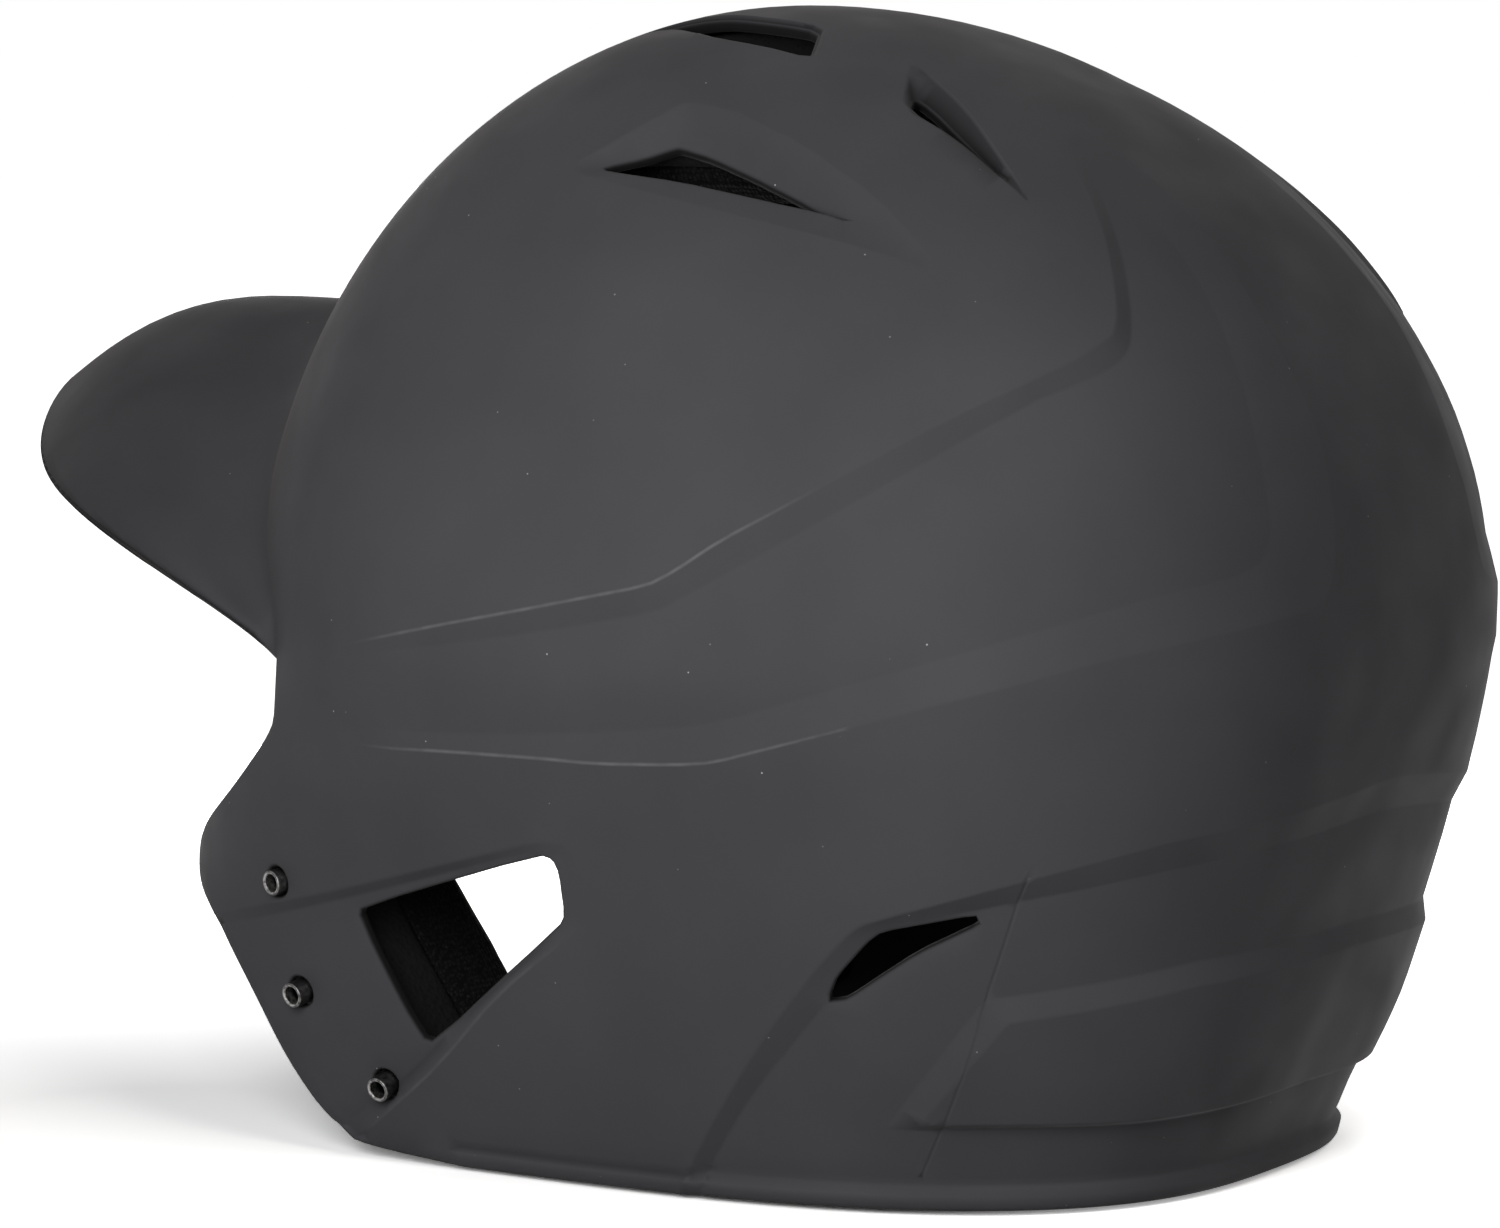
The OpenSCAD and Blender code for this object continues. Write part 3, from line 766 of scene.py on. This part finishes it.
# Painted shade in the groove above the rim's bead, and darker towards the rim's bottom
bead_line = BEAD_LINE_DARK * np.clip(1 - np.abs(full[:, 2] - BEAD_LINE_Z) / BEAD_LINE_HALF, 0, 1)
bead_foot = BEAD_FOOT_DARK * np.clip((BEAD_FOOT_Z - full[:, 2]) / BEAD_FOOT_FADE, 0, 1)
# Painted shade along the foot of the ear pocket's lower slope
foot_shade = np.clip(FOOT_SHADE_MOST - gap_to(pocket_foot, FOOT_SHADE_BELOW) / FOOT_SHADE_FADE, 0, 1)
pocket_foot_shade = np.interp(angle, *POCKET_FADE) * foot_shade
crease_dark = np.maximum(np.maximum(bead_line, bead_foot), pocket_foot_shade)


# Painted shade, near black: the inner face, the walls and the floors of the upper vents
def scoop_share(r, p):
    o, i = r["outer"], r["inner"][:, :2]
    share = distance(p, o) / (distance(p, o) + distance(p, i) + 1e-9)
    return np.where(inside(p, o), np.where(inside(p, i), 1, share), 0)


def seen_from_above(p):
    """Places on the map of points of the outer face, held inside the dome's widest outline."""
    flat = np.stack([np.abs(p[:, 0]), p[:, 1]], 1)
    most = 0.999 * plan_radius(plan_angle(flat), 0.0)
    return from_above(flat * np.minimum(1, most / np.maximum(np.hypot(p[:, 0], p[:, 1]), 1e-6))[:, None])


VENTS_ABOVE = 150
REAR_VENT_DARK, TOP_VENT_DARK, VENT_FADE = 0.95, 0.9, 0.25
full_map = seen_from_above(full)
# The rear vent's front wall, which stays light: a straight line in x and y, and 1 mm beside it
WALL_X, WALL_Y, WALL_SLOPE, WALL_RUN = 33, 42.2, 0.447, 1.095
end_wall = np.clip((full[:, 1] - WALL_Y - WALL_SLOPE * (outside[:, 0] - WALL_X)) / WALL_RUN - 1, 0, 1)
rear_dark = REAR_VENT_DARK * end_wall * scoop_share(rear_scoop, full_map) ** VENT_FADE
top_dark = TOP_VENT_DARK * scoop_share(top_scoop, full_map) ** VENT_FADE
vent_dark = (full[:, 2] > VENTS_ABOVE) * np.maximum(rear_dark, top_dark)

# Painted shade on the bill: a little darker than the dome, and darkest along its rim
BILL_DARK, BILL_FADE = 0.24, 22
RIM_DARK, RIM_WIDTH, RIM_FADE, RIM_POINTS = 0.7, 2.2, 0.7, 400


def bill_gap(line, elsewhere):
    """Distances of the bill's points to a line, and one value for the rest."""
    gap = np.full(len(full), elsewhere)
    gap[on_bill] = np.linalg.norm(outside[on_bill][:, None] - line[None], axis=-1).min(1)
    return gap


rim_gap = bill_gap(bill_edge(np.linspace(0, 90, RIM_POINTS)), FAR_OFF)
rim_dark = RIM_DARK * np.clip((RIM_WIDTH - rim_gap) / RIM_FADE, 0, 1)
bill_dark = on_bill * np.maximum(BILL_DARK * np.clip(bill_gap(bill_low, 0.0) / BILL_FADE, 0, 1), rim_dark)
outer_dark = np.maximum(vent_dark, np.maximum(bill_dark, crease_dark))
# Painted shade: per point on the outer face, full on the inner face, per ring on the walls
dark = np.concatenate([outer_dark, np.ones(len(full))] + wall_dark)
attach(shell, "root")
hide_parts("shell")


# Tee-nuts: rings of (radius, height along the nut's own axis, 0 on the dome's face)
NUT_R, BORE_R, PROUD, FLANGE_R = 2.5, 1.7, 1.6, 6.0
NUT_DEPTH, FLANGE_T, THREAD_PITCH, THREAD_DEPTH = 5.2, 1.2, 0.7, 0.28
NUT_EDGE, NUT_FILLET, BORE_EDGE, NUT_SIDES = 0.3, 0.4, 0.25, 40


def nut_profile():
    low = -NUT_DEPTH
    top = low + FLANGE_T
    out = [(FLANGE_R - NUT_EDGE, low), (FLANGE_R, low + NUT_EDGE), (FLANGE_R, top - NUT_EDGE),
           (FLANGE_R - NUT_EDGE, top), (NUT_R + NUT_FILLET, top), (NUT_R, top + NUT_FILLET),
           (NUT_R, PROUD - NUT_EDGE), (NUT_R - 0.1, PROUD - 0.1), (NUT_R - NUT_EDGE, PROUD),
           (BORE_R + 0.35, PROUD), (BORE_R + 0.1, PROUD - 0.2)]
    z = PROUD - NUT_EDGE
    while z - THREAD_PITCH > low + NUT_EDGE:
        out += [(BORE_R, z), (BORE_R + THREAD_DEPTH, z - 0.5 * THREAD_PITCH)]
        z -= THREAD_PITCH
    return np.array(out + [(BORE_R, low + BORE_EDGE), (BORE_R + BORE_EDGE, low)])


def nut_mesh(th, z):
    c, n, ring = turned_about(th, z, NUT_SIDES)
    prof = nut_profile()
    p = c + prof[:, 0][:, None, None] * ring + prof[:, 1][:, None, None] * n
    rows = len(prof)
    i, j = np.meshgrid(np.arange(rows), np.arange(NUT_SIDES), indexing="ij")
    k0, k1 = i * NUT_SIDES + j, i * NUT_SIDES + (j + 1) % NUT_SIDES
    m0, m1 = (i + 1) % rows * NUT_SIDES + j, (i + 1) % rows * NUT_SIDES + (j + 1) % NUT_SIDES
    return p.reshape(-1, 3), np.stack([k0, k1, m1, m0], -1).reshape(-1, 4)


def joined(parts):
    p, f, n = [], [], 0
    for q, g in parts:
        p.append(q)
        f.append(g + n)
        n += len(q)
    return np.concatenate(p), np.concatenate(f)


nuts = []
nut_p, nut_f = joined([nut_mesh(th, z) for th, z in NUTS])
for name, p, f in (("left_guard_nuts", nut_p, nut_f), ("right_guard_nuts", nut_p * flip_x, nut_f[:, ::-1])):
    ob = new_mesh(name + "_turned", p, f)
    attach(ob, "root")
    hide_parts(name)
    nuts.append(ob)

# Liner pads: middle angle, half span, lowest and highest level, lean; or middle and half span in x and y
PADS = {
    "brow": (-90, 36, 166, 203, 0), "occiput": (90, 28, 136, 186, 0), "back": (90, 32, 36, 116, 0),
    "crown": (0, 17, 18, 48), "ridge": (52.5, 8, 0, 40), "side": (2, 27, 108, 168, 0),
    "temple": (-43, 11, 112, 164, -8), "flank": (46, 11, 76, 150, 0), "ear": (-3, 24, 71, 102, 0),
    "nape": (19, 10, 8, 62, 0), "jaw": (-35.5, 7.5, 12, 60, -12)}
MIDDLE_PADS = ("brow", "occiput", "back", "crown")
PAD_SEAT, JAW_LIFT, LAYER_GAP = 4.0, 1.5, 0.55
BASE_FOAM, SOFT_FOAM, JAW_BASE, JAW_SOFT = 8.0, 9.0, 13.0, 14.0
PAD_SIDES = 72
# Sections from the far side to the near side: size of the ring and share of the thickness
FIRM = [(0.3, 0), (0.6, 0), (0.86, 0), (0.955, 0.01), (0.985, 0.05), (0.997, 0.13), (1.0, 0.3), (1.0, 0.7),
        (0.997, 0.86), (0.985, 0.95), (0.962, 0.99), (0.93, 1.0), (0.75, 1.0), (0.42, 1.0)]
SOFT = [(0.3, 0), (0.6, 0), (0.82, 0), (0.9, 0.01), (0.935, 0.04), (0.955, 0.1), (0.965, 0.2), (0.972, 0.3),
        (0.988, 0.34), (0.994, 0.38), (0.988, 0.42), (0.968, 0.45), (0.962, 0.52), (0.946, 0.64),
        (0.915, 0.77), (0.87, 0.875), (0.82, 0.925), (0.79, 0.925), (0.768, 0.885), (0.755, 0.87),
        (0.742, 0.885), (0.72, 0.94), (0.67, 0.99), (0.58, 1.035), (0.45, 1.075), (0.3, 1.1), (0.15, 1.115)]
# Power of the pad's plan outline, where 1 is an ellipse, and the rise of its middle point
PAD_POWER, PAD_PEAK = 0.5, 0.005
# Puckers along the stitched edge: number, size, the ring where they are strongest, how far they spread,
# the share of the thickness where they start, and their depth
PUCKERS, PUCKER, PUCKER_RING, PUCKER_SPREAD, PUCKER_ABOVE, PUCKER_DEEP = 30, 0.012, 0.86, 0.09, 0.43, 2.2
# Swelling of the jaw pad: size, where it starts, its falls to the edge and to the top, and its peak
JAW_SWELL, SWELL_ABOVE, SWELL_EDGE, SWELL_TOP, SWELL_PEAK = 11.0, 0.3, 0.35, 0.3, 0.8


def pad_point(pad, u, w, g):
    if len(pad) == 4:
        return face_at(*place_above(pad[0] + pad[1] * u, pad[2] + pad[3] * w), g)
    th = pad[0] + pad[1] * u + pad[4] * w / 2
    return face_at(th, (level(pad[3]) * (1 + w) + level(pad[2]) * (1 - w)) / 2, g)


def pad_mesh(pad, section, far, thick, pucker, swell=0.0):
    """A closed form through rings, with a point at each end."""
    al = np.arange(PAD_SIDES) * 2 * np.pi / PAD_SIDES
    cu = np.sign(np.cos(al)) * np.abs(np.cos(al)) ** PAD_POWER
    cw = np.sign(np.sin(al)) * np.abs(np.sin(al)) ** PAD_POWER
    wave = np.cos(PUCKERS * al) + 0.6 * np.cos((PUCKERS - 7) * al + 1.0)
    p = [pad_point(pad, np.zeros(1), np.zeros(1), np.full(1, far))]
    for size, share in section:
        edge = math.exp(-((size - PUCKER_RING) / PUCKER_SPREAD) ** 2) * (share > PUCKER_ABOVE)
        draw = size * (1 - pucker * edge * wave)
        depth = far + thick * (share - PUCKER_DEEP * pucker * edge * wave)
        swollen = swell * max(0.0, share - SWELL_ABOVE) * (1 - SWELL_EDGE * size)
        depth = depth + swollen * (1 - SWELL_TOP * draw * cw)
        p.append(pad_point(pad, draw * cu, draw * cw, depth))
    crown = far + thick * (section[-1][1] + PAD_PEAK) + swell * SWELL_PEAK
    p.append(pad_point(pad, np.zeros(1), np.zeros(1), np.full(1, crown)))
    rows, n = len(section), PAD_SIDES
    i, j = np.meshgrid(np.arange(rows - 1), np.arange(n), indexing="ij")
    k0, k1 = 1 + i * n + j, 1 + i * n + (j + 1) % n
    faces = [tuple(f) for f in np.stack([k0, k0 + n, k1 + n, k1], -1).reshape(-1, 4)]
    last = 1 + (rows - 1) * n
    faces += [(0, 1 + j, 1 + (j + 1) % n) for j in range(n)]
    faces += [(last + n, last + (j + 1) % n, last + j) for j in range(n)]
    return np.concatenate(p), faces


firm_pads, soft_pads = [], []
for name, pad in PADS.items():
    jaw = name == "jaw"
    seat = PAD_SEAT + (JAW_LIFT if jaw else 0)
    base_t, soft_t = (JAW_BASE, JAW_SOFT) if jaw else (BASE_FOAM, SOFT_FOAM)
    pucker, swell = (0.0, JAW_SWELL) if jaw else (PUCKER, 0.0)
    for layer, (p, faces) in (
            ("base", pad_mesh(pad, FIRM, seat, base_t, 0.0)),
            ("comfort", pad_mesh(pad, SOFT, seat + base_t + LAYER_GAP, soft_t, pucker, swell))):
        for side in ("",) if name in MIDDLE_PADS else ("left_", "right_"):
            node = side + name + "_" + layer
            q = p * flip_x if side == "right_" else p
            ob = new_mesh(node + "_pad", q, [f[::-1] for f in faces] if side == "right_" else faces)
            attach(ob, "root")
            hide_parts(node)
            (firm_pads if layer == "base" else soft_pads).append(ob)


# Materials
class Shader:
    """Short forms for the nodes of a material or of the world."""

    def __init__(self, owner):
        owner.use_nodes = True
        self.owner, self.nodes, self.links = owner, owner.node_tree.nodes, owner.node_tree.links
        self.where = self.nodes.new("ShaderNodeTexCoord").outputs["Object"]

    def texture(self, kind, output, **inputs):
        n = self.nodes.new(kind)
        for name, x in inputs.items():
            n.inputs[name].default_value = x
        self.links.new(self.where, n.inputs["Vector"])
        return n.outputs[output]

    def noise(self, scale, detail):
        return self.texture("ShaderNodeTexNoise", "Fac", Scale=scale, Detail=detail)

    def cells(self, scale, randomness=1.0):
        return self.texture("ShaderNodeTexVoronoi", "Distance", Scale=scale, Randomness=randomness)

    def attribute(self, name):
        n = self.nodes.new("ShaderNodeAttribute")
        n.attribute_name = name
        return n.outputs["Fac"]

    def ramp(self, value, start, end, low, high):
        """Goes from one colour to another as a value goes from start to end."""
        n = self.nodes.new("ShaderNodeValToRGB")
        for element, at, colour in zip(n.color_ramp.elements, (start, end), (low, high)):
            element.position, element.color = at, (*colour, 1)
        self.links.new(value, n.inputs["Fac"])
        return n.outputs["Color"]

    def span(self, value, start, end, low, high):
        """Goes from low to high as a value goes from start to end."""
        n = self.nodes.new("ShaderNodeMapRange")
        for name, x in zip(("From Min", "From Max", "To Min", "To Max"), (start, end, low, high)):
            n.inputs[name].default_value = x
        self.links.new(value, n.inputs["Value"])
        return n.outputs["Result"]

    def over(self, mask, under, colour):
        """Lays a plain colour over another by a mask."""
        n = self.nodes.new("ShaderNodeMix")
        n.data_type = "RGBA"
        self.links.new(mask, n.inputs[0])
        self.links.new(under, n.inputs[6])
        n.inputs[7].default_value = (*colour, 1)
        return n.outputs[2]

    def combined(self, operation, a, b):
        n = self.nodes.new("ShaderNodeMath")
        n.operation = operation
        self.links.new(a, n.inputs[0])
        self.links.new(b, n.inputs[1])
        return n.outputs[0]

    def times(self, a, b):
        return self.combined("MULTIPLY", a, b)

    def bump(self, rise, strength, metres, under=None):
        n = self.nodes.new("ShaderNodeBump")
        n.inputs["Strength"].default_value = strength
        n.inputs["Distance"].default_value = metres
        self.links.new(rise, n.inputs["Height"])
        if under is not None:
            self.links.new(under, n.inputs["Normal"])
        return n.outputs["Normal"]

    def surface(self, inputs):
        """Links a socket or sets a plain value, by the name of the surface's input."""
        for name, x in inputs.items():
            at = self.nodes["Principled BSDF"].inputs[name]
            if isinstance(x, bpy.types.NodeSocket):
                self.links.new(x, at)
            else:
                at.default_value = x

    def shown(self, elsewhere, directly, output):
        """Shows one shader to camera, mirrored and refracted rays, and another to the rest."""
        path = self.nodes.new("ShaderNodeLightPath").outputs
        seen = path["Is Camera Ray"]
        for other in ("Is Glossy Ray", "Is Transmission Ray"):
            seen = self.combined("MAXIMUM", seen, path[other])
        n = self.nodes.new("ShaderNodeMixShader")
        for k, x in enumerate((seen, elsewhere.outputs[0], directly.outputs[0])):
            self.links.new(x, n.inputs[k])
        self.links.new(n.outputs[0], self.nodes[output].inputs["Surface"])


def material(name):
    return Shader(bpy.data.materials.new(name))


def point_values(ob, name, values):
    ob.data.attributes.new(name, "FLOAT", "POINT").data.foreach_set("value", values)


# Soft-touch plastic: cloudy tone, fine moulded grain, a painted highlight along the crests, dust and painted
# shade
PLASTIC = (0.050, 0.049, 0.053), (0.059, 0.058, 0.063)
HIGHLIGHT_TONE, DUST, SHADE_TONE = (0.12, 0.12, 0.124), (0.42, 0.41, 0.4), (0.009, 0.009, 0.0095)
plastic = material("soft_touch_plastic")
tone = plastic.ramp(plastic.noise(22, 3), 0.3, 0.7, *PLASTIC)
broken = plastic.span(plastic.noise(260, 3), 0.35, 0.65, 0.55, 1.0)
# Painted highlight along the crests, broken up by noise
tone = plastic.over(plastic.times(plastic.attribute("wear_and_highlight"), broken), tone, HIGHLIGHT_TONE)
speck = plastic.span(plastic.cells(170), 0.02, 0.034, 1.0, 0.0)
few = plastic.span(plastic.noise(35, 1), 0.5, 0.62, 0.0, 1.0)
tone = plastic.over(plastic.times(speck, few), tone, DUST)
# Painted shade, near black, by the dark attribute: vent floors, inner face, walls, creases, rim and bill
tone = plastic.over(plastic.attribute("dark"), tone, SHADE_TONE)
grain = plastic.bump(plastic.noise(2600, 2), 0.12, 0.0001)
plastic.surface({
    "Base Color": tone,
    "Roughness": plastic.span(plastic.noise(60, 3), 0.3, 0.7, 0.6, 0.72),
    "Normal": plastic.bump(plastic.noise(420, 2), 0.05, 0.0003, grain),
    "Specular IOR Level": 0.06,
    "Sheen Weight": 0.02,
    "Sheen Roughness": 0.35,
    "Sheen Tint": (1.0, 0.82, 0.66, 1)})
shell.data.materials.append(plastic.owner)
point_values(shell, "dark", dark)
point_values(shell, "wear_and_highlight", crest_highlight)

# Firm foam: closed cells, with painted shade in their pits
FOAM, PIT_SHADE = ((0.006, 0.006, 0.0065), (0.011, 0.011, 0.0115)), (0.003, 0.003, 0.003)
foam = material("closed_cell_foam")
cells = foam.cells(900)
tone = foam.ramp(foam.noise(40, 3), 0.3, 0.7, *FOAM)
foam.surface({
    "Base Color": foam.over(foam.span(cells, 0.1, 0.35, 0.8, 0.0), tone, PIT_SHADE),
    "Normal": foam.bump(cells, 0.5, 0.0004),
    "Roughness": 0.9,
    "Specular IOR Level": 0.15})
for ob in firm_pads:
    ob.data.materials.append(foam.owner)

# Knitted cover of the soft layers: fine loops, with painted shade where they sink and painted glints where
# some catch light
YARN, GLINT = ((0.002, 0.002, 0.0022), (0.008, 0.008, 0.0085)), (0.03, 0.03, 0.03)
knit = material("knitted_cover")
yarn = knit.span(knit.cells(1100, 0.55), 0.1, 0.6, 1.0, 0.0)
tone = knit.ramp(yarn, 0.2, 0.9, *YARN)
glint = knit.span(knit.noise(1500, 2), 0.6, 0.72, 0.0, 0.5)
knit.surface({
    "Base Color": knit.over(glint, tone, GLINT),
    "Normal": knit.bump(knit.noise(140, 3), 0.25, 0.001, knit.bump(yarn, 0.7, 0.0004)),
    "Roughness": 0.85,
    "Specular IOR Level": 0.1,
    "Sheen Weight": 0.03,
    "Sheen Roughness": 0.4})
for ob in soft_pads:
    ob.data.materials.append(knit.owner)

# Blackened steel, bare where it rubs: radii of the nut and wear at each, down to WORN_DOWN
STEEL, BRIGHT = ((0.008, 0.008, 0.0085), (0.02, 0.02, 0.021)), (0.4, 0.39, 0.38)
WORN_R = [BORE_R, BORE_R + 0.2, BORE_R + 0.4, NUT_R - 0.35, NUT_R - 0.1, NUT_R]
WORN_SHARE = [0.5, 0.3, 0.9, 0.05, 0.4, 0.05]
WORN_DOWN = 2.2
steel = material("blackened_steel")
tone = steel.ramp(steel.noise(900, 3), 0.3, 0.7, *STEEL)
patchy = steel.span(steel.noise(1400, 2), 0.35, 0.6, 0.25, 1.0)
steel.surface({
    "Base Color": steel.over(steel.times(steel.attribute("wear_and_highlight"), patchy), tone, BRIGHT),
    "Metallic": 0.9,
    "Roughness": steel.span(steel.noise(700, 3), 0.3, 0.7, 0.28, 0.48),
    "Normal": steel.bump(steel.noise(3000, 2), 0.2, 0.0001)})
prof = nut_profile()
ring_wear = np.interp(prof[:, 0], WORN_R, WORN_SHARE) * (prof[:, 1] > PROUD - WORN_DOWN)
for ob in nuts:
    ob.data.materials.append(steel.owner)
    point_values(ob, "wear_and_highlight", np.tile(np.repeat(ring_wear, NUT_SIDES), len(NUTS)))

# Camera at the photograph's angle
CAMERA_AT, CAMERA_AIM = (0.9323, 0.5817, 0.2059), (0.0067, 0.0114, 0.1023)
cam = bpy.data.objects.new("camera", bpy.data.cameras.new("camera"))
scene.collection.objects.link(cam)
scene.camera = cam
cam.location = CAMERA_AT
cam.rotation_euler = (Vector(CAMERA_AIM) - cam.location).to_track_quat("-Z", "Y").to_euler()
cam.data.lens = 131.4
cam.data.sensor_width = 36
cam.data.clip_start = 0.05

# Floor: a painted glow makes it white towards the distance, and fades beside the jaw and under the helmet,
# leaving a painted shadow there
FLOOR_HALF, FLOOR_Z = 9, -0.0004
FLOOR_WHITE, FLOOR_DULL = ((0.93, 0.93, 0.93), (0.95, 0.95, 0.95)), (0.25, 0.25, 0.25, 1)
corners = [(x * FLOOR_HALF, y * FLOOR_HALF, 0) for x, y in ((-1, -1), (1, -1), (1, 1), (-1, 1))]
floor_me = bpy.data.meshes.new("floor")
floor_me.from_pydata(corners, [], [(0, 1, 2, 3)])
floor = bpy.data.objects.new("floor", floor_me)
scene.collection.objects.link(floor)
floor.location.z = FLOOR_Z
ground = material("floor_white")
ground.surface({
    "Base Color": ground.ramp(ground.noise(3, 2), 0.3, 0.7, *FLOOR_WHITE),
    "Roughness": 0.9,
    "Specular IOR Level": 0.0})


def from_spot(x, y, near, far):
    """Rises from 0 to 1 with the distance from a spot on the floor."""
    reach = ground.nodes.new("ShaderNodeVectorMath")
    reach.operation = "DISTANCE"
    ground.links.new(ground.where, reach.inputs[0])
    reach.inputs[1].default_value = (x, y, 0)
    return ground.span(reach.outputs["Value"], near, far, 0.0, 1.0)


# Painted light: an emission on the floor for camera rays, strongest away from the two spots
glow = ground.nodes.new("ShaderNodeEmission")
beside_jaw, under_helmet = from_spot(0.07, -0.09, 0.04, 0.22), from_spot(0.0, 0.02, 0.09, 0.13)
ground.links.new(ground.times(beside_jaw, under_helmet), glow.inputs["Strength"])
dull = ground.nodes.new("ShaderNodeBsdfDiffuse")
dull.inputs["Color"].default_value = FLOOR_DULL
# The lit floor counts twice beside the glow
bright = glow
for _ in range(2):
    added = ground.nodes.new("ShaderNodeAddShader")
    ground.links.new(ground.nodes["Principled BSDF"].outputs[0], added.inputs[0])
    ground.links.new(bright.outputs[0], added.inputs[1])
    bright = added
ground.shown(dull, bright, "Material Output")
floor_me.materials.append(ground.owner)

# World: white behind the helmet, and dim as a lamp
ROOM_LIGHT, BACKDROP = 0.06, 1.0
scene.world = bpy.data.worlds.new("world")
sky = Shader(scene.world)
room, white = sky.nodes["Background"], sky.nodes.new("ShaderNodeBackground")
for background, strength in ((room, ROOM_LIGHT), (white, BACKDROP)):
    background.inputs["Color"].default_value = (1, 1, 1, 1)
    background.inputs["Strength"].default_value = strength
sky.shown(room, white, "World Output")

# Lamps
LAMP_AIM = (0, 0, 0.1)


def aimed(ob, at):
    scene.collection.objects.link(ob)
    ob.location = at
    ob.rotation_euler = (Vector(LAMP_AIM) - ob.location).to_track_quat("-Z", "Y").to_euler()


def area(name, at, size, power):
    lamp = bpy.data.lights.new(name, "AREA")
    lamp.size, lamp.energy = size, power
    ob = bpy.data.objects.new(name, lamp)
    ob.visible_camera = False
    aimed(ob, at)


def far_lamp(name, at, spread, strength, colour):
    lamp = bpy.data.lights.new(name, "SUN")
    lamp.angle, lamp.energy, lamp.color = math.radians(spread), strength, colour
    aimed(bpy.data.objects.new(name, lamp), at)


far_lamp("behind", (0.55, 1.4, 1.5), 24, 0.6, (1.0, 0.97, 0.94))
area("key", (0.54, 0.14, 0.25), 0.3, 2.55)
area("far_side", (-0.52, -0.36, 0.12), 0.3, 1.5)

scene.view_settings.view_transform = "Standard"
